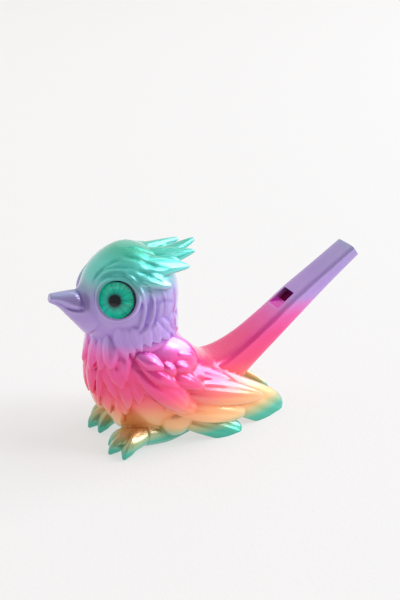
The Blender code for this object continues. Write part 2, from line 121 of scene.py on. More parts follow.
def superellipse(count: int, power: float = 2.0) -> list[tuple[float, float]]:
    """Points of a unit superellipse.

    Args:
        count: How many points go round.
        power: 2 gives a circle, and more is squarer.

    Returns:
        Pairs of coordinates, anticlockwise.
    """
    points = []
    for i in range(count):
        c, s = math.cos(2 * math.pi * i / count), math.sin(2 * math.pi * i / count)
        across = math.copysign(abs(c) ** (2 / power), c)
        up = math.copysign(abs(s) ** (2 / power), s)
        points.append((across, up))
    return points


def smooth_row(rows: Sequence[Row], share: float) -> list[float]:
    """A row of values read along a table, on a Catmull-Rom curve.

    Args:
        rows: The table.
        share: How far along the table to read, from 0 to 1.

    Returns:
        The values there.
    """
    span = share * (len(rows) - 1)
    i = min(int(span), len(rows) - 2)
    t = span - i
    before, a = rows[max(i - 1, 0)], rows[i]
    b, after = rows[i + 1], rows[min(i + 2, len(rows) - 1)]
    values = []
    for p, q, r, s in zip(before, a, b, after):
        square = 2 * p - 5 * q + 4 * r - s
        cube = 3 * q - p - 3 * r + s
        values.append(0.5 * (2 * q + (r - p) * t + square * t**2 + cube * t**3))
    return values


def loft(bm: bmesh.types.BMesh, rings: Rings, closed: bool = False) -> None:
    """Joins rings of equal count into one tube.

    Args:
        bm: The mesh to add to.
        rings: The rings, in millimetres from the beak tip.
        closed: Joins the last ring to the first, in place of end faces.
    """
    join_rows(bm, [[bm.verts.new(in_frame(p)) for p in ring] for ring in rings], closed)


def join_rows(
    bm: bmesh.types.BMesh, rows: list[list[bmesh.types.BMVert]], closed: bool = False
) -> None:
    """Adds the faces between rows of points, and closes the ends.

    Args:
        bm: The mesh that holds the points.
        rows: The points, ring by ring.
        closed: Joins the last row to the first, in place of end faces.
    """
    count = len(rows[0])
    pairs = list(zip(rows, rows[1:] + rows[:1])) if closed else list(zip(rows, rows[1:]))
    for row, following in pairs:
        for i in range(count):
            j = (i + 1) % count
            bm.faces.new((row[i], row[j], following[j], following[i]))
    if not closed:
        bm.faces.new(rows[0][::-1])
        bm.faces.new(rows[-1])


def ball(bm: bmesh.types.BMesh, centre: Row, size: Row) -> None:
    """Adds an ellipsoid from its centre and its three half sizes.

    Args:
        bm: The mesh to add to.
        centre: Its centre, in millimetres from the beak tip.
        size: Its three half sizes, in millimetres.
    """
    place = Matrix.Translation(in_frame(centre)) @ Matrix.Diagonal((*(Vector(size) * MM), 1))
    bmesh.ops.create_uvsphere(bm, u_segments=40, v_segments=28, radius=1, matrix=place)


def make_mesh(name: str, fill: Callable[[bmesh.types.BMesh], None]) -> bpy.types.Mesh:
    """A mesh that a function fills, with its faces turned outwards.

    Args:
        name: The mesh's name.
        fill: Adds the shapes.

    Returns:
        The mesh.
    """
    bm = bmesh.new()
    fill(bm)
    bmesh.ops.recalc_face_normals(bm, faces=bm.faces)
    mesh = bpy.data.meshes.new(name)
    bm.to_mesh(mesh)
    bm.free()
    return mesh


def add_piece(name: str, mesh: bpy.types.Mesh) -> bpy.types.Object:
    """Puts a mesh in the scene, selected and active on its own.

    Args:
        name: The piece's name.
        mesh: Its mesh.

    Returns:
        The piece.
    """
    piece = bpy.data.objects.new(name, mesh)
    bpy.context.scene.collection.objects.link(piece)
    pick(piece)
    return piece


def pick(*pieces: bpy.types.Object) -> None:
    """Selects these pieces and nothing else, with the first of them active."""
    bpy.ops.object.select_all(action="DESELECT")
    for piece in pieces:
        piece.select_set(True)
    bpy.context.view_layer.objects.active = pieces[0]


def apply_all(piece: bpy.types.Object) -> None:
    """Applies a piece's modifiers in order.

    Args:
        piece: The piece.
    """
    pick(piece)
    for modifier in list(piece.modifiers):
        bpy.ops.object.modifier_apply(modifier=modifier.name)


def read_points(mesh: bpy.types.Mesh) -> tuple[np.ndarray, np.ndarray]:
    """The places and the normals of a mesh's points, as rows of three.

    Args:
        mesh: The mesh.

    Returns:
        The places in metres, and the normals.
    """
    places, normals = np.empty(len(mesh.vertices) * 3), np.empty(len(mesh.vertices) * 3)
    mesh.vertices.foreach_get("co", places)
    mesh.vertices.foreach_get("normal", normals)
    return places.reshape(-1, 3), normals.reshape(-1, 3)


def carve(mesh: bpy.types.Mesh, strokes: Iterable[Stroke]) -> None:
    """Draws grooves and ridges on a mesh, on both sides of the bird.

    Args:
        mesh: The mesh.
        strokes: For each, its height in millimetres, which is less than 0 for a groove, its
            width, and points near the skin with Y outwards.
    """
    bm = bmesh.new()
    bm.from_mesh(mesh)
    tree = BVHTree.FromBMesh(bm)
    bm.free()
    places, normals = read_points(mesh)
    push = np.zeros(len(places))
    for height, width, *path in strokes:
        for side in Side:
            line = []
            for i in range(STROKE_STEPS + 1):
                point = in_frame(mirrored(smooth_row(path, i / STROKE_STEPS), side))
                line.append(tree.find_nearest(point)[0])
            spots = np.array(line)
            margin = STROKE_REACH * width * MM
            low, high = spots.min(axis=0) - margin, spots.max(axis=0) + margin
            near = np.flatnonzero(((places > low) & (places < high)).all(axis=1))
            gaps = np.linalg.norm(places[near, None] - spots[None], axis=2)
            along = gaps.argmin(axis=1) / STROKE_STEPS
            share = 2 * SWELL_START + (1 - 4 * SWELL_START) * along
            swell = np.sin(np.pi * share) ** SWELL_POWER
            push[near] += height * swell * np.exp(-((gaps.min(axis=1) / (width * MM)) ** 2))
    mesh.vertices.foreach_set("co", (places + normals * push[:, None] * MM).ravel())
    mesh.update()


def mark_hollows(mesh: bpy.types.Mesh, rounds: int, reach: float) -> None:
    """Stores how deep each point lies in a hollow, as the attribute "hollow".

    The surface is smoothed, and a point that the smoothing lifts lies in a hollow.

    Args:
        mesh: The mesh.
        rounds: How many times it is smoothed.
        reach: The lift that counts as 1, in millimetres. Ridges count as less than 0.
    """
    count = len(mesh.vertices)
    places, normals = read_points(mesh)
    edges = np.empty(len(mesh.edges) * 2, dtype=np.int64)
    mesh.edges.foreach_get("vertices", edges)
    starts, ends = edges.reshape(-1, 2).T
    nearby = np.maximum(np.bincount(edges, minlength=count), 1)
    smoothed = places.copy()
    for _ in range(rounds):
        for axis in range(3):
            column = smoothed[:, axis]
            total = np.bincount(starts, column[ends], count)
            total += np.bincount(ends, column[starts], count)
            smoothed[:, axis] = 0.5 * column + 0.5 * total / nearby
    lift = ((smoothed - places) * normals).sum(axis=1) / (reach * MM)
    # The material paints shade where this is above 0 and a highlight where it is below.
    hollow = mesh.attributes.new("hollow", "FLOAT", "POINT")
    hollow.data.foreach_set("value", np.clip(lift, -1, 1).astype(np.float32))


@dataclass
class Surface:
    """The smooth core's skin, on which the relief is laid."""

    mesh: bpy.types.Mesh
    sections: Sequence[Row]
    tree: BVHTree = field(init=False)

    def __post_init__(self) -> None:
        """Builds the tree that rays are cast into."""
        bm = bmesh.new()
        bm.from_mesh(self.mesh)
        self.tree = BVHTree.FromBMesh(bm)
        bm.free()

    def hit(self, start: Vector, direction: Vector) -> tuple[Vector, Vector]:
        """Where a ray meets the skin.

        Args:
            start: Where the ray starts, in millimetres from the beak tip.
            direction: Where it goes.

        Returns:
            The place in millimetres from the beak tip, and the normal there.
        """
        place, normal, _, _ = self.tree.ray_cast(in_frame(start), direction)
        place = place / MM
        return Vector((place.x + OVERALL_LENGTH / 2, place.y, place.z)), normal

    def round_at(self, angle_deg: float, level: float, side: Side) -> tuple[Vector, Vector]:
        """Place and normal at an angle round from the front, at a level.

        Args:
            angle_deg: 0 is straight ahead and 90 is the flank.
            level: Height above the table.
            side: Which side of the bird.

        Returns:
            The place in millimetres from the beak tip, and the normal there.
        """
        rows = [smooth_row(self.sections, i / 100) for i in range(101)]
        row = min(rows, key=lambda entry: abs(entry[0] - level))
        angle = math.radians(angle_deg)
        axis = Vector(((row[1] + row[2]) / 2, 0, level))
        out = Vector((-math.cos(angle), side.value * math.sin(angle), 0))
        return self.hit(axis + out * 40, -out)


def blade_share(t: float, roundness: float) -> float:
    """Width of a feather along it, as a share of its widest.

    Args:
        t: How far along the feather, from 0 to 1.
        roundness: 0 closes to a point, 1 to a half circle and more to a blunt end.

    Returns:
        The share.
    """
    if t < WIDEST_AT:
        return WIDEST_AT + (1 - WIDEST_AT) * math.sin(math.pi / 2 * t / WIDEST_AT)
    closing = (t - WIDEST_AT) / (1 - WIDEST_AT)
    if roundness > 1:
        return (1 - closing ** (2 * roundness)) ** (0.5 / roundness)
    return roundness * math.sqrt(1 - closing**2) + (1 - roundness) * (1 - closing**1.3)


def blade_rings(
    centres: Sequence[Vector],
    outwards: Sequence[Vector],
    width: float,
    thickness: float,
    roundness: float,
    barbs: float,
) -> Rings:
    """Lens-shaped rings along a feather's line, with a quill and grooves beside it.

    Args:
        centres: The feather's line.
        outwards: Which way its face looks at each point.
        width: Its widest.
        thickness: Its thickest.
        roundness: How round its tip is.
        barbs: Depth of the grooves along it.

    Returns:
        The rings.
    """
    rings = []
    last = len(centres) - 1
    for i, (centre, outward) in enumerate(zip(centres, outwards)):
        direction = (centres[min(i + 1, last)] - centres[max(i - 1, 0)]).normalized()
        side = direction.cross(outward).normalized()
        face = side.cross(direction)
        share = max(blade_share(TIP_AT * i / last, roundness), LEAST_SHARE)
        ring = []
        for c, s in superellipse(48):
            groove = barbs * math.cos(c * math.pi * GROOVE_WAVES) * share**0.5 * max(s, 0)
            lift = thickness / 2 * share**0.5 * s + groove
            ring.append(centre + side * width / 2 * share * c + face * lift)
        rings.append(ring)
    return rings


def ridge_rings(
    centres: Sequence[Vector], outwards: Sequence[Vector], thickness: float
) -> Rings:
    """Rings of a ridge that swells from nothing to its thickness and back.

    Args:
        centres: The ridge's line.
        outwards: Which way the skin looks at each point.
        thickness: Its thickest.

    Returns:
        The rings.
    """
    rings = []
    last = len(centres) - 1
    for i, (centre, outward) in enumerate(zip(centres, outwards)):
        direction = (centres[min(i + 1, last)] - centres[max(i - 1, 0)]).normalized()
        side = direction.cross(outward).normalized()
        share = SWELL_START + (1 - 2 * SWELL_START) * i / last
        swell = max(math.sin(math.pi * share), 0.1) ** SWELL_POWER
        radius = thickness / 2 * swell
        rings.append([centre + (side * c + outward * s) * radius for c, s in superellipse(12)])
    return rings


@dataclass
class Eye:
    """A glass cabochon over a printed iris, in a seat with a raised lid round it."""

    side: Side
    place: Row = (14.3, 8.6, 42.4)
    forward_deg: float = 31.0
    up_deg: float = 21.0
    diameter: float = 10.0
    height: float = 3.6
    edge: float = 0.9
    sink: float = 2.3
    iris_diameter: float = 9.6
    iris_thickness: float = 0.4
    seat_gap: float = 0.25
    lid_radius: float = 4.7
    lid_thickness: float = 1.8
    lid_flatness: float = 0.9
    lip_radius: float = 4.5
    lip_rise: float = 0.9
    socket_reach: float = 6.0
    bevel: float = 0.25
    print_margin: float = 0.15
    # The print isn't centred on its disc.
    print_ahead: float = 0.84
    print_above: float = -0.34

    def axes(self) -> tuple[Vector, Vector, Vector, Vector]:
        """The eye's centre, and its forward, upward and outward directions.

        Returns:
            The four vectors, the centre in millimetres from the beak tip.
        """
        forward, up = math.radians(self.forward_deg), math.radians(self.up_deg)
        across = self.side.value * math.cos(forward) * math.cos(up)
        out = Vector((-math.sin(forward) * math.cos(up), across, math.sin(up)))
        upward = (Vector((0, 0, 1)) - out * out.z).normalized()
        ahead = upward.cross(out) * self.side.value
        return mirrored(self.place, self.side), ahead, upward, out

    def matrix(self, depth: float) -> Matrix:
        """Turns a shape made about Z to look out of the eye.

        Args:
            depth: How far it is sunk below the rim, in millimetres.

        Returns:
            The placing matrix, in metres.
        """
        centre, _, upward, out = self.axes()
        turn = Matrix((upward.cross(out), upward, out)).transposed().to_4x4()
        return Matrix.Translation(in_frame(centre - out * depth)) @ turn

    def lid(self, bm: bmesh.types.BMesh) -> None:
        """Adds the raised ring round the eye.

        Args:
            bm: The mesh to add to.
        """
        centre, forward, upward, out = self.axes()
        rings = []
        turns = 72
        for i in range(turns):
            angle = 2 * math.pi * i / turns
            radial = forward * math.cos(angle) + upward * math.sin(angle)
            middle = centre + radial * self.lid_radius
            rings.append(
                [
                    middle + (radial * c + out * s * self.lid_flatness) * self.lid_thickness / 2
                    for c, s in superellipse(18)
                ]
            )
        loft(bm, rings, closed=True)

    def socket(self, bm: bmesh.types.BMesh) -> None:
        """Adds the seat's cutter, with the lip that holds the glass in.

        Args:
            bm: The mesh to add to.
        """
        depth = self.sink + self.seat_gap * 2 + self.iris_thickness
        seat = self.diameter / 2 + self.seat_gap
        lip = depth - self.sink + self.edge + self.seat_gap
        profile = (
            (seat, 0.0),
            (seat, lip),
            (self.lip_radius, lip + self.lip_rise),
            (self.lip_radius, self.socket_reach),
        )
        place = self.matrix(depth)
        turns = 128
        rows = []
        for radius, height in profile:
            ring = []
            for i in range(turns):
                angle = 2 * math.pi * i / turns
                point = Vector((radius * math.cos(angle), radius * math.sin(angle), height))
                ring.append(bm.verts.new(place @ (point * MM)))
            rows.append(ring)
        join_rows(bm, rows)

    def build_dome(self) -> bpy.types.Object:
        """Turns the glass from its profile.

        Returns:
            The dome.
        """
        radius, rise = self.diameter / 2, self.height - self.edge
        sphere = (radius**2 + rise**2) / (2 * rise)
        reach = math.asin(radius / sphere)
        profile = [(0.0, 0.0), (radius - self.bevel, 0.0), (radius, self.bevel)]
        steps = 24
        for i in range(steps + 1):
            angle = reach * (1 - i / steps)
            fall = sphere * (1 - math.cos(angle))
            profile.append((sphere * math.sin(angle), self.height - fall))
        name = f"{self.side.label}_glass_dome"
        mesh = bpy.data.meshes.new(name)
        edges = [(i, i + 1) for i in range(len(profile) - 1)]
        mesh.from_pydata([(x * MM, 0, z * MM) for x, z in profile], edges, [])
        dome = add_piece(name, mesh)
        bpy.ops.object.mode_set(mode="EDIT")
        bpy.ops.mesh.select_all(action="SELECT")
        bpy.ops.mesh.spin(
            steps=96, angle=2 * math.pi, center=(0, 0, 0), axis=(0, 0, 1), use_normal_flip=False
        )
        bpy.ops.mesh.select_all(action="SELECT")
        bpy.ops.mesh.remove_doubles(threshold=1e-6)
        bpy.ops.mesh.normals_make_consistent(inside=False)
        bpy.ops.object.mode_set(mode="OBJECT")
        dome.data.transform(self.matrix(self.sink))
        bpy.ops.object.shade_smooth_by_angle(angle=math.radians(40))
        return dome

    def build_iris(self) -> bpy.types.Object:
        """Makes the printed disc, with its own flat map for the print.

        Returns:
            The disc.
        """
        radius = self.iris_diameter / 2 * MM
        bpy.ops.mesh.primitive_circle_add(
            vertices=96, radius=radius, fill_type="NGON", calc_uvs=False
        )
        disc = bpy.context.active_object
        disc.name = f"{self.side.label}_printed_iris"
        bpy.ops.object.mode_set(mode="EDIT")
        bpy.ops.mesh.select_all(action="SELECT")
        lift = (0, 0, self.iris_thickness * MM)
        bpy.ops.mesh.extrude_region_move(TRANSFORM_OT_translate={"value": lift})
        bpy.ops.mesh.inset(thickness=self.print_margin * MM)
        bpy.ops.mesh.select_all(action="SELECT")
        bpy.ops.mesh.normals_make_consistent(inside=False)
        bpy.ops.object.mode_set(mode="OBJECT")
        layer = disc.data.uv_layers.new(name="print")
        ahead, above = self.side.value * self.print_ahead * MM, self.print_above * MM
        for loop in disc.data.loops:
            spot = disc.data.vertices[loop.vertex_index].co
            across, up = (spot.x - ahead) / radius, (spot.y - above) / radius
            layer.data[loop.index].uv = (across / 2 + 0.5, up / 2 + 0.5)
        disc.data.transform(self.matrix(self.sink + self.seat_gap + self.iris_thickness))
        return disc


@dataclass
class WhistleBody:
    """The one-piece print: core, feathers, crest, feet, and the whistle cut into the tail."""

    core_voxel: float = 0.6
    core_smoothing: int = 27
    skin_voxel: float = 0.24
    skin_smoothing: int = 3
    hollow_rounds: int = 24
    hollow_reach: float = 0.3
    most_triangles: int = 185000
    free_barbs: float = 0.07
    laid_barbs: float = 0.05
    path_steps: int = 18

    # Head and torso: level, front, rear and half width of each horizontal section.
    core_sections: tuple[Row, ...] = (
        (2.0, 19.0, 33.0, 5.0),
        (4.0, 15.5, 38.0, 8.2),
        (7.5, 13.6, 42.5, 10.4),
        (12.0, 11.4, 44.5, 11.8),
        (17.0, 9.8, 43.5, 12.4),
        (22.5, 9.3, 37.0, 12.0),
        (27.0, 10.0, 33.4, 11.2),
        (31.0, 9.8, 31.8, 10.7),
        (35.0, 8.4, 32.2, 11.0),
        (40.0, 8.0, 32.8, 11.2),
        (44.5, 8.6, 32.0, 10.9),
        (48.5, 11.0, 29.4, 9.2),
        (51.4, 14.6, 25.5, 6.0),
    )
    core_narrowing: float = 0.12
    core_bottom: float = 1.0
    core_top: float = 52.85

    # Beak and tail: place, height, half depth and half width.
    beak_sections: tuple[Row, ...] = (
        (0.3, 42.18, 1.1, 1.2),
        (3.2, 41.3, 2.1, 1.9),
        (6.6, 39.7, 4.0, 3.3),
        (11.0, 37.8, 6.8, 6.0),
    )
    tail_sections: tuple[Row, ...] = (
        (34.0, 10.8, 8.0, 8.6),
        (44.5, 13.6, 5.4, 6.1),
        (52.4, 17.9, 3.9, 4.9),
        (60.6, 23.7, 3.3, 4.4),
        (68.4, 29.7, 2.95, 4.2),
        (76.5, 35.5, 2.4, 3.9),
        (86.6, 42.6, 1.8, 3.8),
    )
    tail_squareness: float = 4.6
    tail_end: float = 84.75

    wall: float = 1.2
    windway_height: float = 1.1
    windway_half_width: float = 2.4
    windway_roof: float = 0.9
    window_step: float = 68.27
    window_length: float = 3.0
    ramp_length: float = 2.8
    chamber_end: float = 36.0
    chamber_closing: float = 0.55
    inside_depth: float = 0.55
    inside_slack: float = 0.02

    # Free feathers: base, tip, width, thickness, bow outwards, roundness of the tip.
    wing_feathers: tuple[Feather, ...] = (
        ((25.0, 8.5, 21.0), (61.6, 4.8, -0.9), 10.4, 2.8, 2.2, 2.6),
        ((26.0, 10.6, 17.0), (54.4, 8.4, 7.0), 7.0, 2.4, 1.8, 0.7),
        ((25.0, 11.0, 13.5), (47.8, 10.2, 4.4), 7.6, 2.4, 1.6, 0.9),
        ((27.0, 8.2, 8.8), (46.2, 10.5, -0.9), 6.6, 3.0, 0.8, 2.4),
        ((17.0, 9.8, 21.5), (38.0, 11.2, 5.8), 6.5, 2.6, 2.0, 0.3),
        ((18.0, 9.9, 24.5), (30.3, 12.4, 11.6), 8.0, 3.4, 1.6, 1.0),
        ((19.0, 10.6, 25.0), (27.6, 13.0, 17.6), 4.4, 2.8, 1.2, 0.2),
        ((18.0, 10.2, 27.6), (24.2, 12.6, 23.4), 3.6, 2.6, 0.8, 0.1),
        ((23.5, 10.2, 23.0), (36.0, 11.0, 14.4), 5.0, 2.8, 1.4, 0.4),
        ((28.0, 8.4, 20.6), (49.0, 7.4, 9.8), 6.4, 3.0, 1.4, 0.5),
    )
    covert_curls: tuple[Feather, ...] = (
        ((26.8, 10.4, 26.4), (32.8, 10.0, 24.2), 2.8, 2.4, 0.5, 0.8),
        ((26.4, 11.6, 24.0), (31.4, 11.6, 21.6), 3.2, 2.4, 0.5, 0.9),
        ((23.8, 11.8, 25.0), (26.8, 12.6, 21.8), 2.6, 2.2, 0.5, 1.0),
    )
    wing_outward: Row = (0.0, 1.0, 0.5)
    shoulder_centre: Row = (24.6, 7.6, 22.2)
    shoulder_size: Row = (10.6, 5.2, 8.3)

    crest_centre_feather: Feather = ((17.5, 0.0, 50.4), (38.3, 0.0, 51.0), 6.2, 3.0, -2.0, 0.4)
    crest_feathers: tuple[Feather, ...] = (
        ((17.4, 3.0, 49.4), (36.2, 4.9, 49.8), 6.4, 3.0, -0.5, 0.25),
        ((15.8, 5.8, 48.6), (33.6, 7.2, 46.9), 6.2, 3.0, 0.9, 0.3),
        ((17.4, 8.0, 46.8), (27.2, 10.5, 44.0), 4.4, 2.4, 1.1, 0.9),
    )
    crest_outward: Row = (0.1, 0.7, 1.0)

    # Laid feathers, by angle round from the front and level: start, end, width, thickness,
    # lift of the tip, roundness of the tip.
    breast_feathers: tuple[Feather, ...] = (
        ((39, 32.5), (37, 24.4), 4.6, 2.6, 1.2, 1.0),
        ((26, 31.0), (24, 23.4), 4.2, 2.2, 0.9, 0.5),
        ((12, 31.0), (9, 22.6), 4.4, 2.2, 0.9, 0.5),
        ((53, 30.0), (50, 21.6), 4.4, 2.2, 0.9, 0.4),
        ((24, 26.5), (11, 13.6), 1.8, 2.4, 1.3, 0.6),
        ((42, 28.0), (41, 19.6), 5.4, 2.4, 1.1, 0.4),
        ((31, 26.0), (28, 15.8), 4.6, 2.2, 0.8, 0.3),
        ((7, 26.0), (5, 15.4), 4.2, 2.2, 1.0, 0.3),
        ((44, 23.5), (36, 13.0), 4.2, 2.4, 1.2, 0.1),
        ((58, 24.0), (47, 14.4), 4.6, 2.2, 0.9, 0.2),
        ((18, 20.0), (15, 10.2), 4.4, 2.0, 0.8, 0.3),
        ((29, 18.0), (23, 7.4), 2.4, 2.0, 1.0, 1.0),
        ((36, 19.5), (31, 10.6), 4.2, 2.0, 0.8, 0.2),
        ((4, 18.5), (3, 10.6), 3.4, 1.8, 0.7, 0.4),
    )
    neck_feathers: tuple[Feather, ...] = (
        ((54, 35.0), (60, 26.8), 3.0, 2.0, 1.6, 0.0),
        ((64, 35.0), (69, 27.9), 2.6, 2.0, 1.6, 0.0),
        ((74, 35.5), (79, 28.8), 2.8, 2.0, 1.6, 0.0),
        ((85, 36.0), (91, 29.6), 3.0, 2.0, 1.4, 0.1),
        ((98, 36.5), (103, 30.2), 3.2, 1.8, 0.9, 0.6),
        ((112, 36.5), (118, 30.2), 3.4, 1.8, 0.8, 0.6),
        ((128, 36.5), (134, 30.0), 3.6, 1.8, 0.6, 0.4),
        ((146, 36.5), (150, 30.0), 3.8, 1.6, 0.5, 0.3),
    )

    # The neck's feathers are wider and flatter than the table says, so they merge above.
    neck_flatness: float = 0.62
    neck_widening: float = 1.35

    # Ridges on the head: places by angle round from the front and level, and thickness.
    # The first bounds the bare face round the eye.
    head_ridges: tuple[tuple[tuple[Row, ...], float], ...] = (
        (
            ((64, 48.6), (78, 46.8), (86, 43.6), (88, 39.9), (85, 36.0), (77, 32.8), (66, 31.0)),
            1.25,
        ),
        (((95, 44.4), (100, 41.3), (99, 37.5), (93, 33.4)), 0.9),
        (((112, 44.0), (117, 40.4), (115, 36.6)), 0.8),
    )

    # Strokes drawn on the finished skin: height, width and points from the beak tip.
    strokes: tuple[Stroke, ...] = (
        # The mouth and the base of the beak.
        (-0.4, 0.4, (1.4, 1.4, 41.3), (3.3, 1.8, 40.0), (4.7, 2.5, 39.3), (6.2, 3.2, 39.1),
         (7.1, 3.6, 39.4)),
        (-0.3, 0.45, (6.6, 0.8, 43.3), (7.0, 1.5, 42.8), (7.3, 2.7, 41.7), (7.3, 3.3, 40.6),
         (7.1, 3.6, 39.4)),
        # Arches over the eye.
        (-0.22, 0.38, (10.5, 3.5, 46.5), (11.6, 3.9, 47.8), (13.3, 4.8, 48.9), (14.9, 5.9, 49.3),
         (16.7, 7.1, 49.4), (18.6, 8.0, 49.3)),
        (-0.2, 0.35, (12.1, 5.2, 47.3), (13.5, 6.1, 48.0), (15.1, 7.1, 48.4), (17.2, 8.7, 48.2)),
        (-0.22, 0.38, (11.2, 4.9, 46.3), (12.8, 6.0, 47.2), (14.5, 7.3, 47.6), (16.5, 8.6, 47.6),
         (17.8, 9.7, 47.3)),
        (-0.2, 0.4, (14.1, 4.2, 49.9), (15.2, 4.7, 50.3), (16.2, 5.3, 50.5)),
        (-0.2, 0.35, (10.0, 3.8, 45.4), (11.1, 3.8, 47.2), (12.9, 4.0, 49.0), (14.7, 4.7, 50.0)),
        # Behind the eye and on the nape.
        (-0.35, 0.5, (20.4, 11.2, 46.2), (21.4, 11.1, 44.0), (21.6, 11.2, 41.4),
         (21.0, 11.2, 38.7), (20.0, 11.2, 35.8), (18.6, 11.1, 34.2)),
        (-0.3, 0.45, (23.2, 11.1, 41.6), (23.4, 11.1, 39.5), (22.9, 11.1, 37.0),
         (21.6, 11.4, 35.0)),
        (-0.25, 0.45, (23.4, 11.1, 40.5), (25.6, 10.9, 40.8), (28.6, 9.0, 39.2)),
        (-0.25, 0.45, (24.8, 10.7, 37.0), (26.6, 10.2, 35.1), (28.8, 8.9, 32.2)),
        (-0.25, 0.45, (23.9, 11.1, 35.5), (25.5, 10.9, 33.5), (27.8, 9.3, 30.7)),
        # Between the crest's feathers.
        (-0.35, 0.5, (17.7, 4.7, 51.5), (19.4, 6.1, 51.0), (21.3, 7.0, 50.5), (22.9, 8.0, 49.7),
         (24.6, 8.9, 48.8), (26.6, 9.0, 48.4)),
        (-0.4, 0.5, (19.7, 8.9, 48.6), (21.4, 9.6, 47.9), (23.0, 10.7, 47.1), (24.7, 11.4, 45.9)),
        (-0.25, 0.45, (18.8, 9.8, 47.3), (20.2, 11.1, 46.3), (21.8, 11.6, 45.3),
         (23.7, 11.8, 44.7)),
        (-0.25, 0.45, (19.5, 3.0, 52.6), (22.1, 4.1, 52.0), (24.5, 4.5, 51.0), (27.0, 4.8, 50.2)),
        # Ridges along the toes and the gap between them.
        (0.35, 0.5, (11.1, 7.7, 2.0), (13.1, 7.7, 4.4), (15.6, 7.0, 5.4), (17.7, 6.4, 5.6)),
        (0.35, 0.5, (13.5, 11.8, 1.6), (14.9, 11.2, 4.1), (16.9, 9.7, 5.3), (19.1, 8.4, 5.8)),
        (-0.35, 0.5, (13.1, 9.0, 3.1), (14.3, 10.0, 4.2), (16.6, 8.4, 5.3)),
    )

    ankle: Row = (20.5, 7.2, 3.4)
    toes: tuple[Row, ...] = ((12.4, 3.4), (10.9, 7.3), (13.2, 11.4))
    toe_radius: float = 2.1
    heel: Row = (35.0, 4.6, 0.4)
    thigh_centre: Row = (29.0, 7.4, 7.0)
    thigh_size: Row = (5.0, 4.6, 5.2)

    def core(self, bm: bmesh.types.BMesh) -> None:
        """Adds head and torso, as a stack of horizontal ellipses narrowed to the front.

        Args:
            bm: The mesh to add to.
        """
        steps = 6 * (len(self.core_sections) - 1)
        rows = [smooth_row(self.core_sections, i / steps) for i in range(steps + 1)]
        low, high = rows[0], rows[-1]
        rows.insert(0, [self.core_bottom, low[1] + low[3], low[2] - low[3], low[3] / 2])
        rows.append([self.core_top, high[1] + high[3] / 2, high[2] - high[3] / 2, high[3] / 2])
        rings = []
        for level, front, rear, half_width in rows:
            middle, half = (front + rear) / 2, (rear - front) / 2
            ring = []
            for c, s in superellipse(64):
                narrowed = half_width * s * (1 + self.core_narrowing * c)
                ring.append(Vector((middle + half * c, narrowed, level)))
            rings.append(ring)
        loft(bm, rings)

    @staticmethod
    def row_axes(rows: Sequence[Row], i: int) -> tuple[Vector, Vector]:
        """Direction and upward normal of a path in the plane of symmetry, at row i.

        Args:
            rows: The path's rows.
            i: Which row.

        Returns:
            The two directions.
        """
        ahead, behind = rows[min(i + 1, len(rows) - 1)], rows[max(i - 1, 0)]
        direction = Vector((ahead[0] - behind[0], 0, ahead[1] - behind[1])).normalized()
        return direction, Vector((-direction.z, 0, direction.x))

    def path_rings(self, rows: Sequence[Row], power: float, count: int = 40) -> Rings:
        """Rings across a path.

        Args:
            rows: Place, height, half depth and half width of each ring.
            power: How square the rings are.
            count: Points in a ring.

        Returns:
            The rings.
        """
        rings = []
        for i, (x, z, half_depth, half_width) in enumerate(rows):
            up = self.row_axes(rows, i)[1]
            ring = []
            for c, s in superellipse(count, power):
                ring.append(Vector((x, half_width * c, z)) + up * half_depth * s)
            rings.append(ring)
        return rings

    def beak(self, bm: bmesh.types.BMesh) -> None:
        """Adds the beak."""
        rows = [smooth_row(self.beak_sections, i / 16) for i in range(17)]
        loft(bm, self.path_rings(rows, 2.0))

    def tail_rows(self, start: float, end: float, steps: int = 40) -> list[list[float]]:
        """Rows of the tail between two places along X.

        Args:
            start: Where to start.
            end: Where to end.
            steps: How many steps to take.

        Returns:
            Place, height, half depth and half width at each step.
        """
        rows = [smooth_row(self.tail_sections, i / 400) for i in range(401)]
        picked = []
        for i in range(steps + 1):
            x = start + (end - start) * i / steps
            picked.append(min(rows, key=lambda row: abs(row[0] - x)))
        return picked

    def tail(self, bm: bmesh.types.BMesh) -> None:
        """Adds the tail tube."""
        rows = self.tail_rows(self.tail_sections[0][0], self.tail_sections[-1][0])
        loft(bm, self.path_rings(rows, self.tail_squareness))

    def tail_place(self, x: float) -> tuple[Vector, Vector, Vector, float, float]:
        """Centre, direction, upward normal, half depth and half width of the tail at x.

        Args:
            x: The place along X.

        Returns:
            The five values, in millimetres from the beak tip.
        """
        rows = self.tail_rows(x - 1, x + 1, 2)
        direction, up = self.row_axes(rows, 1)
        return Vector((rows[1][0], 0, rows[1][1])), direction, up, rows[1][2], rows[1][3]

    def free_feather(
        self, bm: bmesh.types.BMesh, feather: Feather, side: Side, outward: Row
    ) -> None:
        """Adds a feather on a line bowed outwards between its base and its tip.

        Args:
            bm: The mesh to add to.
            feather: Its row in the tables.
            side: Which side of the bird.
            outward: Which way its face looks, with Y outwards.
        """
        base, tip, width, thickness, bow, roundness = feather
        base, tip = mirrored(base, side), mirrored(tip, side)
        face = mirrored(outward, side).normalized()
        middle = (base + tip) / 2 + face * bow * 2
        centres = []
        steps = 28
        for i in range(steps + 1):
            t = i / steps
            centres.append(base * (1 - t) ** 2 + middle * 2 * t * (1 - t) + tip * t**2)
        faces = [face] * len(centres)
        loft(bm, blade_rings(centres, faces, width, thickness, roundness, self.free_barbs))

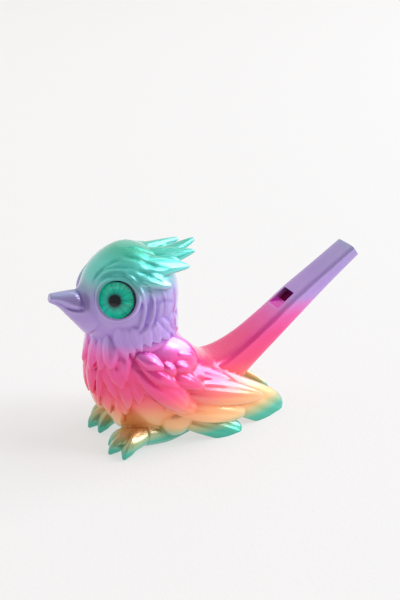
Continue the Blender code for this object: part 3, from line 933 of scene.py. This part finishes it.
    def laid_feather(
        self, bm: bmesh.types.BMesh, skin: Surface, side: Side, feather: Feather
    ) -> None:
        """Adds a feather laid on the skin, whose tip stands proud of it.

        Args:
            bm: The mesh to add to.
            skin: The core's skin.
            side: Which side of the bird.
            feather: Its row in the tables.
        """
        start, end, width, thickness, lift, roundness = feather
        centres, outwards = [], []
        for i in range(self.path_steps + 1):
            t = i / self.path_steps
            angle = start[0] + (end[0] - start[0]) * t
            level = start[1] + (end[1] - start[1]) * t
            place, normal = skin.round_at(angle, level, side)
            centres.append(place + normal * (lift * t - thickness / 4 * (1 - t)))
            outwards.append(normal)
        loft(bm, blade_rings(centres, outwards, width, thickness, roundness, self.laid_barbs))

    def add_head_ridges(self, bm: bmesh.types.BMesh, skin: Surface, side: Side) -> None:
        """Adds the rim of the bare face and the crescents behind it.

        Args:
            bm: The mesh to add to.
            skin: The core's skin.
            side: Which side of the bird.
        """
        for path, thickness in self.head_ridges:
            rows = [smooth_row(path, i / 30) for i in range(31)]
            hits = [skin.round_at(angle, level, side) for angle, level in rows]
            loft(bm, ridge_rings(*zip(*hits), thickness))

    def limb(self, bm: bmesh.types.BMesh, points: Sequence[Row], radii: Row) -> None:
        """Adds a round limb through points, with its radius read along the same curve.

        Args:
            bm: The mesh to add to.
            points: Where it passes, in millimetres from the beak tip.
            radii: Its radius at each point.
        """
        table = [(*point, radius) for point, radius in zip(points, radii)]
        last = self.path_steps
        rows = [smooth_row(table, i / last) for i in range(last + 1)]
        centres = [Vector(row[:3]) for row in rows]
        rings = []
        for i, centre in enumerate(centres):
            direction = (centres[min(i + 1, last)] - centres[max(i - 1, 0)]).normalized()
            side = direction.cross(Vector((0, 0, 1))).normalized()
            up = side.cross(direction)
            ring = [centre + (side * c + up * s) * rows[i][3] for c, s in superellipse(20)]
            rings.append(ring)
        loft(bm, rings)

    def foot(self, bm: bmesh.types.BMesh, side: Side) -> None:
        """Adds a foot: three toes with claws, the sole back to the heel, and the thigh.

        Args:
            bm: The mesh to add to.
            side: Which side of the bird.
        """
        ankle, heel = mirrored(self.ankle, side), mirrored(self.heel, side)
        radius = self.toe_radius
        for x, y in self.toes:
            tip = mirrored((x, y, 0.3), side)
            reach = ankle - tip
            knuckle = tip + reach * 0.42 + Vector((0, 0, 1.5))
            claw = tip + reach * 0.16 + Vector((0, 0, 0.9))
            radii = (radius * 1.25, radius, radius * 0.72, 0.35)
            self.limb(bm, (ankle, knuckle, claw, tip), radii)
        self.limb(bm, (ankle, (ankle + heel) / 2, heel), (radius * 1.4, radius * 1.3, 0.8))
        ball(bm, mirrored(self.thigh_centre, side), self.thigh_size)

    def relief(self, bm: bmesh.types.BMesh, skin: Surface, eyes: Sequence[Eye]) -> None:
        """Adds all that stands on the core: feathers, crest, lids and feet.

        Args:
            bm: The mesh to add to.
            skin: The core's skin.
            eyes: The eyes, one for each side.
        """
        self.free_feather(bm, self.crest_centre_feather, Side.LEFT, (0, 0, 1))
        self.beak(bm)
        self.tail(bm)
        for eye in eyes:
            side = eye.side
            for feather in self.wing_feathers + self.covert_curls:
                self.free_feather(bm, feather, side, self.wing_outward)
            for feather in self.crest_feathers:
                self.free_feather(bm, feather, side, self.crest_outward)
            for feather in self.breast_feathers:
                self.laid_feather(bm, skin, side, feather)
            for start, end, width, thickness, lift, roundness in self.neck_feathers:
                flat = thickness * self.neck_flatness, lift * self.neck_flatness
                wide = width * self.neck_widening
                self.laid_feather(bm, skin, side, (start, end, wide, *flat, roundness))
            ball(bm, mirrored(self.shoulder_centre, side), self.shoulder_size)
            eye.lid(bm)
            self.add_head_ridges(bm, skin, side)
            self.foot(bm, side)

    def bed_cutter(self, bm: bmesh.types.BMesh) -> None:
        """Adds all that would lie under the print bed.

        Args:
            bm: The mesh to add to.
        """
        length, width, depth = 200 * MM, 100 * MM, 8 * MM
        place = Matrix.Translation((0, 0, -depth / 2))
        size = Matrix.Diagonal((length, width, depth, 1))
        bmesh.ops.create_cube(bm, size=1, matrix=place @ size)

    @staticmethod
    def square_ring(
        middle: Vector, up: Vector, half_depth: float, half_width: float
    ) -> list[Vector]:
        """A rectangle across the tail, about its middle.

        Args:
            middle: Its middle.
            up: The tail's upward normal.
            half_depth: Half its depth.
            half_width: Half its width.

        Returns:
            Its four corners.
        """
        across = Vector((0, 1, 0))
        corners = ((1, 1), (-1, 1), (-1, -1), (1, -1))
        return [middle + across * half_width * c + up * half_depth * s for c, s in corners]

    def end_cutter(self, bm: bmesh.types.BMesh) -> None:
        """Adds what squares off the mouthpiece.

        Args:
            bm: The mesh to add to.
        """
        centre, direction, up, half_depth, half_width = self.tail_place(self.tail_end)
        rings = []
        for reach in (0.0, 8.0):
            middle = centre + direction * reach
            rings.append(self.square_ring(middle, up, half_depth * 3, half_width * 2))
        loft(bm, rings)

    def windway_cutter(self, bm: bmesh.types.BMesh) -> None:
        """Adds the flat slot under the tail's upper face, from mouthpiece to window.

        Args:
            bm: The mesh to add to.
        """
        rings = []
        for x in (self.window_step - 0.5, self.tail_end + 1.5):
            centre, _, up, half_depth, _ = self.tail_place(x)
            down = half_depth - self.windway_roof - self.windway_height / 2
            ring = self.square_ring(
                centre + up * down, up, self.windway_height / 2, self.windway_half_width
            )
            rings.append(ring)
        loft(bm, rings)

    def window_cutter(self, bm: bmesh.types.BMesh) -> None:
        """Adds the notch in the upper face: a step, the window, and the ramp to its edge.

        Args:
            bm: The mesh to add to.
        """
        centre, direction, up, half_depth, _ = self.tail_place(self.window_step)
        roof, edge = half_depth + 3, half_depth - self.wall
        far = -self.window_length - 3 * self.ramp_length / self.wall
        profile = (
            (0, roof),
            (0, edge - self.windway_height / 2),
            (-self.window_length, edge - self.windway_height / 2),
            (-self.window_length, edge),
            (far, edge + 3),
            (far, roof),
        )
        rings = []
        for across in (-self.windway_half_width, self.windway_half_width):
            ring = [centre + direction * s + up * h + Vector((0, across, 0)) for s, h in profile]
            rings.append(ring)
        loft(bm, rings)

    def chamber_cutter(self, bm: bmesh.types.BMesh) -> None:
        """Adds the sounding chamber, from the window down into the rump.

        Args:
            bm: The mesh to add to.
        """
        rows = []
        for x, z, half_depth, half_width in self.tail_rows(self.chamber_end, self.window_step):
            rows.append((x, z, half_depth - self.wall, half_width - self.wall))
        first = rows[0]
        share = self.chamber_closing
        rows.insert(0, (first[0] - 2.2, first[1] - 0.8, first[2] * share, first[3] * share))
        loft(bm, self.path_rings(rows, 2.4))

    @staticmethod
    def fuse(piece: bpy.types.Object, voxel: float, smoothing: int) -> None:
        """Draws one skin over a piece's overlapping forms and softens it.

        Args:
            piece: The piece.
            voxel: The skin's fineness, in millimetres.
            smoothing: How many times it is smoothed.
        """
        remesh = piece.modifiers.new("fuse", "REMESH")
        remesh.mode = "VOXEL"
        remesh.voxel_size = voxel * MM
        smooth = piece.modifiers.new("soften", "SMOOTH")
        smooth.factor = 0.5
        smooth.iterations = smoothing

    def build(self, eyes: Sequence[Eye]) -> bpy.types.Object:
        """Makes the print in one piece.

        Args:
            eyes: The eyes whose seats are cut into it.

        Returns:
            The body.
        """

        def main_forms(bm: bmesh.types.BMesh) -> None:
            """Adds the forms under the relief."""
            self.core(bm)
            self.beak(bm)
            self.tail(bm)

        body = add_piece("printed_body", make_mesh("printed_body", main_forms))
        self.fuse(body, self.core_voxel, self.core_smoothing)
        round_out = body.modifiers.new("round_out", "SUBSURF")
        round_out.levels = 1
        round_out.render_levels = 1
        apply_all(body)
        skin = Surface(body.data, self.core_sections)

        relief = add_piece("relief", make_mesh("relief", lambda bm: self.relief(bm, skin, eyes)))
        pick(body, relief)
        bpy.ops.object.join()
        self.fuse(body, self.skin_voxel, self.skin_smoothing)
        apply_all(body)
        count = 2 * len(body.data.polygons)
        if count > self.most_triangles:
            thin = body.modifiers.new("thin_out", "DECIMATE")
            thin.ratio = self.most_triangles / count
            apply_all(body)
        carve(body.data, self.strokes)
        self.cut(body, eyes)
        mark_hollows(body.data, self.hollow_rounds, self.hollow_reach)
        self.mark_inside(body.data)
        pick(body)
        bpy.ops.object.shade_smooth_by_angle(angle=math.radians(60))
        return body

    def mark_inside(self, mesh: bpy.types.Mesh) -> None:
        """Stores 1 on the faces within the tail's walls, as the attribute "inside", where the
        material paints shade.

        Args:
            mesh: The finished body.
        """
        inside = mesh.attributes.new("inside", "FLOAT", "FACE")
        rows = self.tail_rows(self.chamber_end, self.tail_end - 1, 60)
        axes = [self.row_axes(rows, i)[1] for i in range(len(rows))]
        for face in mesh.polygons:
            x, y, z = face.center / MM
            x += OVERALL_LENGTH / 2
            if x < self.chamber_end or abs(y) > self.windway_half_width + self.inside_slack:
                continue
            i = min(range(len(rows)), key=lambda k: abs(rows[k][0] - x) + abs(rows[k][1] - z))
            off = axes[i].x * (x - rows[i][0]) + axes[i].z * (z - rows[i][1])
            inside.data[face.index].value = float(abs(off) < rows[i][2] - self.inside_depth)

    def cut(self, body: bpy.types.Object, eyes: Sequence[Eye]) -> None:
        """Cuts the bed, the whistle and the eye seats out of the body.

        Args:
            body: The body.
            eyes: The eyes whose seats are cut.
        """
        cutters = bpy.data.collections.new("cutters")
        bpy.context.scene.collection.children.link(cutters)
        makers: list[tuple[str, Callable[[bmesh.types.BMesh], None]]] = [
            ("bed", self.bed_cutter),
            ("mouth_end", self.end_cutter),
            ("chamber", self.chamber_cutter),
            ("windway", self.windway_cutter),
            ("window", self.window_cutter),
        ]
        makers += [(f"{eye.side.label}_seat", eye.socket) for eye in eyes]
        for name, maker in makers:
            cutters.objects.link(bpy.data.objects.new(name, make_mesh(name, maker)))
        boolean = body.modifiers.new("cuts", "BOOLEAN")
        boolean.operation = "DIFFERENCE"
        boolean.operand_type = "COLLECTION"
        boolean.collection = cutters
        boolean.solver = "MANIFOLD"
        apply_all(body)
        for cutter in list(cutters.objects):
            bpy.data.objects.remove(cutter)
        bpy.data.collections.remove(cutters)


class NodeSheet:
    """A material's node tree, with short ways to add and join its nodes."""

    def __init__(self, name: str) -> None:
        """Starts an empty material.

        Args:
            name: The material's name.
        """
        self.material = bpy.data.materials.new(name)
        self.material.use_nodes = True
        self.nodes = self.material.node_tree.nodes
        self.links = self.material.node_tree.links
        self.nodes.clear()
        self.output = self.nodes.new("ShaderNodeOutputMaterial")
        self.coords = self.nodes.new("ShaderNodeTexCoord")

    def add(self, kind: str, **settings: object) -> bpy.types.Node:
        """Adds a node and sets its properties.

        Args:
            kind: The node's type.
            settings: Its properties, by name.

        Returns:
            The node.
        """
        node = self.nodes.new(kind)
        for key, value in settings.items():
            setattr(node, key, value)
        return node

    def join(self, start: bpy.types.NodeSocket, end: bpy.types.NodeSocket) -> None:
        """Links two sockets."""
        self.links.new(start, end)

    def maths(self, operation: str, *values: object) -> bpy.types.NodeSocket:
        """Adds a Math node.

        Args:
            operation: What it does.
            values: Numbers, or sockets to link.

        Returns:
            Its output.
        """
        node = self.add("ShaderNodeMath", operation=operation)
        for socket, value in zip(node.inputs, values):
            if isinstance(value, bpy.types.NodeSocket):
                self.join(value, socket)
            else:
                socket.default_value = value
        return node.outputs[0]

    def ramp(
        self, factor: bpy.types.NodeSocket, stops: Iterable[tuple[float, Row]]
    ) -> bpy.types.NodeSocket:
        """Adds a colour ramp.

        Args:
            factor: What it reads.
            stops: Places from 0 to 1, with linear colours.

        Returns:
            Its colour.
        """
        node = self.add("ShaderNodeValToRGB")
        stops = list(stops)
        elements = node.color_ramp.elements
        while len(elements) < len(stops):
            elements.new(1.0)
        for element, (place, colour) in zip(elements, stops):
            element.position = place
            element.color = (*colour, 1.0)
        self.join(factor, node.inputs[0])
        return node.outputs[0]

    def noise(
        self, vector: bpy.types.NodeSocket, scale: float, detail: float
    ) -> bpy.types.NodeSocket:
        """Adds a noise texture.

        Args:
            vector: What it reads.
            scale: How fine it is, per metre.
            detail: How many octaves it has.

        Returns:
            Its value.
        """
        node = self.add("ShaderNodeTexNoise")
        node.inputs["Scale"].default_value = scale
        node.inputs["Detail"].default_value = detail
        self.join(vector, node.inputs["Vector"])
        return node.outputs[0]

    def principled(self, settings: dict[str, object]) -> bpy.types.Node:
        """Adds the shader and joins it to the output.

        Args:
            settings: Values of its sockets, by their names.

        Returns:
            The shader.
        """
        shader = self.add("ShaderNodeBsdfPrincipled")
        for name, value in settings.items():
            shader.inputs[name].default_value = value
        self.join(shader.outputs[0], self.output.inputs["Surface"])
        return shader

    def bumped(
        self, shader: bpy.types.Node, height: bpy.types.NodeSocket, strength: float, depth: float
    ) -> None:
        """Gives a shader a fine relief.

        Args:
            shader: The shader.
            height: The relief.
            strength: How strong it is, from 0 to 1.
            depth: How deep it is, in millimetres.
        """
        bump = self.add("ShaderNodeBump")
        bump.inputs["Strength"].default_value = strength
        bump.inputs["Distance"].default_value = depth * MM
        self.join(height, bump.inputs["Height"])
        self.join(bump.outputs[0], shader.inputs["Normal"])

    def multiplied(
        self, colour: bpy.types.NodeSocket, factor: float | bpy.types.NodeSocket
    ) -> tuple[bpy.types.NodeSocket, bpy.types.NodeSocket]:
        """Adds a colour mix that multiplies.

        Args:
            colour: The colour to multiply.
            factor: How much of the change to make, from 0 to 1.

        Returns:
            The socket of the other colour, and the result.
        """
        node = self.add("ShaderNodeMix", data_type="RGBA", blend_type="MULTIPLY")
        if isinstance(factor, bpy.types.NodeSocket):
            self.join(factor, node.inputs["Factor"])
        else:
            node.inputs["Factor"].default_value = factor
        self.join(colour, node.inputs[6])
        return node.inputs[7], node.outputs[2]


def linear(red: float, green: float, blue: float) -> tuple[float, float, float]:
    """A screen colour from 0 to 255, as linear values.

    Args:
        red: The red, from 0 to 255.
        green: The green, from 0 to 255.
        blue: The blue, from 0 to 255.

    Returns:
        The linear colour.
    """
    values = []
    for value in (red, green, blue):
        share = value / 255
        low = share / 12.92
        values.append(low if share <= 0.04045 else ((share + 0.055) / 1.055) ** 2.4)
    return tuple(values)


@dataclass(frozen=True)
class SilkFilament:
    """Silky plastic whose colour drifts with height, laid in thin layers."""

    top: float = 53.0
    layer: float = 0.2
    layer_depth: float = 0.035
    # The colour's bounds wander by this height, in millimetres.
    drift: float = 1.4
    drift_scale: float = 60.0
    roughness: float = 0.24
    metallic: float = 0.42
    coat: float = 0.9
    coat_ior: float = 1.6
    coat_roughness: float = 0.12
    # How much painted shade darkens the colour in hollows and within the whistle, and how far a
    # painted highlight pales it on ridges.
    hollow_shade: float = 0.55
    inside_depth: float = 0.3
    palest_highlight: float = 0.85
    # Deep magenta multiplied into the whistle's inside, as painted shade and bounced light.
    inside_shade_tint: Row = (1.0, 0.1, 0.8)
    # Height in millimetres, and the colour there.
    stops: tuple[tuple[float, tuple[int, int, int]], ...] = (
        (0.0, (10, 155, 130)),
        (2.8, (30, 170, 140)),
        (4.9, (172, 178, 118)),
        (6.8, (250, 182, 114)),
        (10.5, (254, 156, 98)),
        (13.5, (254, 108, 100)),
        (17.5, (250, 52, 114)),
        (23.0, (250, 46, 134)),
        (27.0, (246, 72, 168)),
        (29.6, (224, 112, 204)),
        (31.6, (182, 138, 220)),
        (38.0, (168, 138, 212)),
        (42.5, (164, 144, 210)),
        (45.0, (138, 168, 196)),
        (47.5, (92, 206, 200)),
        (50.6, (72, 206, 188)),
        (53.0, (20, 178, 142)),
    )

    def build(self) -> bpy.types.Material:
        """Makes the material.

        Returns:
            The material.
        """
        sheet = NodeSheet("silk_filament")
        place = sheet.coords.outputs["Object"]
        split = sheet.add("ShaderNodeSeparateXYZ")
        sheet.join(place, split.inputs[0])
        height = split.outputs["Z"]
        drift = sheet.noise(place, self.drift_scale, 2.0)
        drift = sheet.maths("MULTIPLY_ADD", drift, self.drift * MM, height)
        share = sheet.maths("DIVIDE", drift, self.top * MM)
        colour = sheet.ramp(share, [(z / self.top, linear(*c)) for z, c in self.stops])
        shader = sheet.principled(
            {
                "Metallic": self.metallic,
                "Roughness": self.roughness,
                "Coat Weight": self.coat,
                "Coat Roughness": self.coat_roughness,
                "Coat IOR": self.coat_ior,
            }
        )
        sheet.join(self.painted_light(sheet, colour), shader.inputs["Base Color"])
        sheet.bumped(shader, self.steps(sheet, height), 1.0, self.layer_depth)
        return sheet.material

    def painted_light(self, sheet: NodeSheet, colour: bpy.types.NodeSocket) -> bpy.types.NodeSocket:
        """Paints shade into the colour in hollows and within the whistle, and a highlight on
        ridges.

        Args:
            sheet: The material's nodes.
            colour: The plain colour.

        Returns:
            The colour with the painted shade and highlight.
        """
        hollow = sheet.add("ShaderNodeAttribute", attribute_name="hollow")
        inside = sheet.add("ShaderNodeAttribute", attribute_name="inside")
        # Painted shade: a higher gamma darkens the colour in hollows and within the whistle, and
        # on ridges a lower gamma pales it as a painted highlight.
        power = sheet.maths("MULTIPLY_ADD", hollow.outputs["Fac"], self.hollow_shade, 1.0)
        power = sheet.maths("MULTIPLY_ADD", inside.outputs["Fac"], self.inside_depth, power)
        deep = sheet.add("ShaderNodeGamma")
        sheet.join(colour, deep.inputs["Color"])
        sheet.join(sheet.maths("MAXIMUM", power, self.palest_highlight), deep.inputs["Gamma"])
        # Painted shade: faces within the whistle are multiplied by a deep magenta, standing in
        # for shade and light bounced round inside it.
        tint, result = sheet.multiplied(deep.outputs[0], inside.outputs["Fac"])
        tint.default_value = (*self.inside_shade_tint, 1.0)
        return result

    def steps(self, sheet: NodeSheet, height: bpy.types.NodeSocket) -> bpy.types.NodeSocket:
        """The steps of the layers, which show where the surface lies flat.

        Args:
            sheet: The material's nodes.
            height: The height above the table.

        Returns:
            The relief of the steps, from -1 to 1.
        """
        geometry = sheet.add("ShaderNodeNewGeometry")
        split = sheet.add("ShaderNodeSeparateXYZ")
        sheet.join(geometry.outputs["Normal"], split.inputs[0])
        lying = sheet.maths("ABSOLUTE", split.outputs["Z"])
        lying = sheet.maths("POWER", lying, 3.0)
        layers = sheet.maths("DIVIDE", height, self.layer * MM)
        wave = sheet.maths("SINE", sheet.maths("MULTIPLY", layers, 2 * math.pi))
        return sheet.maths("MULTIPLY", wave, lying)


@dataclass(frozen=True)
class PrintedIris:
    """An emerald iris with dark fibres, a dark pupil and a dark rim, printed on a disc."""

    pupil: float = 0.25
    # The print glows a little though it is no lamp: painted light that keeps the iris bright
    # under the glass.
    glow: float = 0.36
    # How far the bounds of the colours wander, as a share of the disc's radius.
    wander: float = 0.08

    def build(self) -> bpy.types.Material:
        """Makes the material, which reads the disc's own map.

        Returns:
            The material.
        """
        sheet = NodeSheet("printed_iris")
        centred = sheet.add("ShaderNodeMapping")
        centred.inputs["Location"].default_value = (-1.0, -1.0, 0.0)
        centred.inputs["Scale"].default_value = (2.0, 2.0, 1.0)
        sheet.join(sheet.coords.outputs["UV"], centred.inputs[0])
        flat = centred.outputs[0]
        length = sheet.add("ShaderNodeVectorMath", operation="LENGTH")
        sheet.join(flat, length.inputs[0])
        radius = length.outputs["Value"]
        unit = sheet.add("ShaderNodeVectorMath", operation="NORMALIZE")
        sheet.join(flat, unit.inputs[0])
        spokes = sheet.noise(unit.outputs[0], 9.0, 4.0)
        wobble = sheet.maths("MULTIPLY_ADD", spokes, self.wander, radius)
        wobble = sheet.maths("SUBTRACT", wobble, self.wander / 2)
        base = sheet.ramp(
            wobble,
            (
                (0.0, linear(8, 10, 20)),
                (self.pupil - 0.02, linear(8, 12, 26)),
                (self.pupil + 0.01, linear(6, 120, 110)),
                (0.36, linear(0, 188, 160)),
                (0.52, linear(0, 212, 176)),
                (0.76, linear(0, 190, 150)),
                (0.8, linear(4, 50, 60)),
                (0.86, linear(6, 12, 34)),
            ),
        )
        threads = sheet.noise(unit.outputs[0], 30.0, 5.0)
        dark = sheet.ramp(
            threads, ((0.38, (0.1, 0.24, 0.3)), (0.52, (1, 1, 1)), (0.75, (1.2, 1.2, 1.2)))
        )
        other, result = sheet.multiplied(base, 1.0)
        sheet.join(dark, other)
        # Painted light: the print's colour also glows.
        shader = sheet.principled(
            {"Roughness": 0.5, "Specular IOR Level": 0.0, "Emission Strength": self.glow}
        )
        sheet.join(result, shader.inputs["Base Color"])
        sheet.join(result, shader.inputs["Emission Color"])
        return sheet.material


@dataclass(frozen=True)
class ClearGlass:
    """Polished clear glass, which casts no shadow on the iris."""

    ior: float = 1.45

    def build(self) -> bpy.types.Material:
        """Makes the material.

        Returns:
            The material.
        """
        sheet = NodeSheet("clear_glass")
        shader = sheet.principled(
            {
                "Base Color": (1.0, 1.0, 1.0, 1.0),
                "Roughness": 0.0,
                "IOR": self.ior,
                "Transmission Weight": 1.0,
            }
        )
        clear = sheet.add("ShaderNodeBsdfTransparent")
        path = sheet.add("ShaderNodeLightPath")
        blend = sheet.add("ShaderNodeMixShader")
        sheet.join(path.outputs["Is Shadow Ray"], blend.inputs[0])
        sheet.join(shader.outputs[0], blend.inputs[1])
        sheet.join(clear.outputs[0], blend.inputs[2])
        sheet.join(blend.outputs[0], sheet.output.inputs["Surface"])
        return sheet.material


@dataclass(frozen=True)
class PalePaper:
    """The plain pale floor, with a glow that keeps its shadows light."""

    colour: tuple[int, int, int] = (134, 132, 130)
    glow: float = 0.62
    glow_colour: Row = (1.0, 0.99, 0.98)
    grain: float = 900.0
    grain_depth: float = 0.2

    def build(self) -> bpy.types.Material:
        """Makes the material.

        Returns:
            The material.
        """
        sheet = NodeSheet("pale_paper")
        grain = sheet.noise(sheet.coords.outputs["Object"], self.grain, 4.0)
        shader = sheet.principled(
            {
                "Base Color": (*linear(*self.colour), 1.0),
                "Roughness": 0.9,
                "Emission Color": (*self.glow_colour, 1.0),
                "Emission Strength": self.glow,
            }
        )
        sheet.bumped(shader, grain, 0.4, self.grain_depth)
        return sheet.material


@dataclass
class Studio:
    """Floor, lights and the camera."""

    camera_place: Row = (-62.03, -207.28, 134.17)
    camera_pan_deg: float = 26.203
    camera_tilt_deg: float = 23.424
    lens: float = 59.18
    room_light: float = 0.8
    dim_light: float = 0.26
    # Cosines of the angle from the camera's direction where the dimming starts and is full.
    dim_start: float = 0.3
    dim_full: float = 0.8

    def build_camera(self) -> None:
        """Sets the camera at the photograph's viewpoint."""
        data = bpy.data.cameras.new("camera")
        data.lens = self.lens
        data.clip_start = 0.01
        camera = bpy.data.objects.new("camera", data)
        camera.location = in_frame(self.camera_place)
        camera.rotation_euler = (
            math.radians(90 - self.camera_tilt_deg),
            0,
            -math.radians(self.camera_pan_deg),
        )
        bpy.context.scene.collection.objects.link(camera)
        bpy.context.scene.camera = camera

    def build_floor(self) -> None:
        """Lays the floor."""
        bpy.ops.object.select_all(action="DESELECT")
        bpy.ops.mesh.primitive_plane_add(size=6.0, location=(0, 0, 0))
        floor = bpy.context.active_object
        floor.name = "floor"
        floor.data.materials.append(PalePaper().build())

    def build_lights(self) -> None:
        """Hangs the window light and sets the room's soft light."""
        bpy.context.scene.view_settings.view_transform = "Standard"
        self.panel("window", (990.0, -705.0, 1326.0), (450.0, 1110.0), 12.0, (0.85, 0.9, 1.0))
        self.panel("side", (1620.0, -285.0, 873.0), (1700.0, 1400.0), 36.0, (0.86, 0.9, 1.0))
        self.build_room()

    def build_room(self) -> None:
        """Makes the room pale all round, and dimmer behind the camera."""
        world = bpy.data.worlds.new("room")
        world.use_nodes = True
        nodes, links = world.node_tree.nodes, world.node_tree.links
        shade = nodes["Background"]
        shade.inputs[0].default_value = (1.0, 0.985, 0.965, 1.0)
        coords = nodes.new("ShaderNodeTexCoord")
        aim = nodes.new("ShaderNodeVectorMath")
        aim.operation = "DOT_PRODUCT"
        pan, tilt = math.radians(self.camera_pan_deg), math.radians(self.camera_tilt_deg)
        toward = Vector((-math.sin(pan), -math.cos(pan), math.tan(tilt)))
        aim.inputs[1].default_value = toward * math.cos(tilt)
        links.new(coords.outputs["Generated"], aim.inputs[0])
        dim = nodes.new("ShaderNodeMapRange")
        dim.interpolation_type = "SMOOTHSTEP"
        dim.inputs["From Min"].default_value = self.dim_start
        dim.inputs["From Max"].default_value = self.dim_full
        dim.inputs["To Min"].default_value = self.room_light
        dim.inputs["To Max"].default_value = self.dim_light
        links.new(aim.outputs["Value"], dim.inputs["Value"])
        links.new(dim.outputs[0], shade.inputs[1])
        bpy.context.scene.world = world

    def panel(
        self, name: str, place: Row, size: tuple[float, float], power: float, colour: Row
    ) -> None:
        """Hangs a soft rectangular light that looks at the bird.

        Args:
            name: The light's name.
            place: Where it hangs, in millimetres from the middle of the footprint.
            size: Its width and height, in millimetres.
            power: Its power in watts.
            colour: Its colour.
        """
        data = bpy.data.lights.new(name, "AREA")
        data.shape = "RECTANGLE"
        data.size, data.size_y = size[0] * MM, size[1] * MM
        data.energy = power
        data.color = colour
        light = bpy.data.objects.new(name, data)
        light.location = Vector(place) * MM
        aim = Vector((0, 0, AIM_HEIGHT * MM)) - light.location
        light.rotation_euler = aim.to_track_quat("-Z", "Y").to_euler()
        bpy.context.scene.collection.objects.link(light)


def dress(piece: bpy.types.Object, material: bpy.types.Material, node: str) -> None:
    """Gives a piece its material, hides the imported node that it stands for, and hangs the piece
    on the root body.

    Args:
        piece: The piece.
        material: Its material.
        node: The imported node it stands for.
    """
    piece.data.materials.clear()
    piece.data.materials.append(material)
    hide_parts(node)
    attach(piece, "root")
    LOG.info("%s: %d faces", piece.name, len(piece.data.polygons))


def main() -> None:
    """Builds the whistle, its eyes and the studio."""
    logging.basicConfig(level=logging.INFO, format="%(name)s: %(message)s")
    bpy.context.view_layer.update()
    studio = Studio()
    studio.build_camera()
    studio.build_floor()
    studio.build_lights()
    eyes = [Eye(Side.LEFT), Eye(Side.RIGHT)]
    body = WhistleBody().build(eyes)
    dress(body, SilkFilament().build(), "whistle_body")
    glass, iris = ClearGlass().build(), PrintedIris().build()
    for eye in eyes:
        dress(eye.build_dome(), glass, f"{eye.side.label}_eye_dome")
        dress(eye.build_iris(), iris, f"{eye.side.label}_iris")


if __name__ == "__main__":
    main()
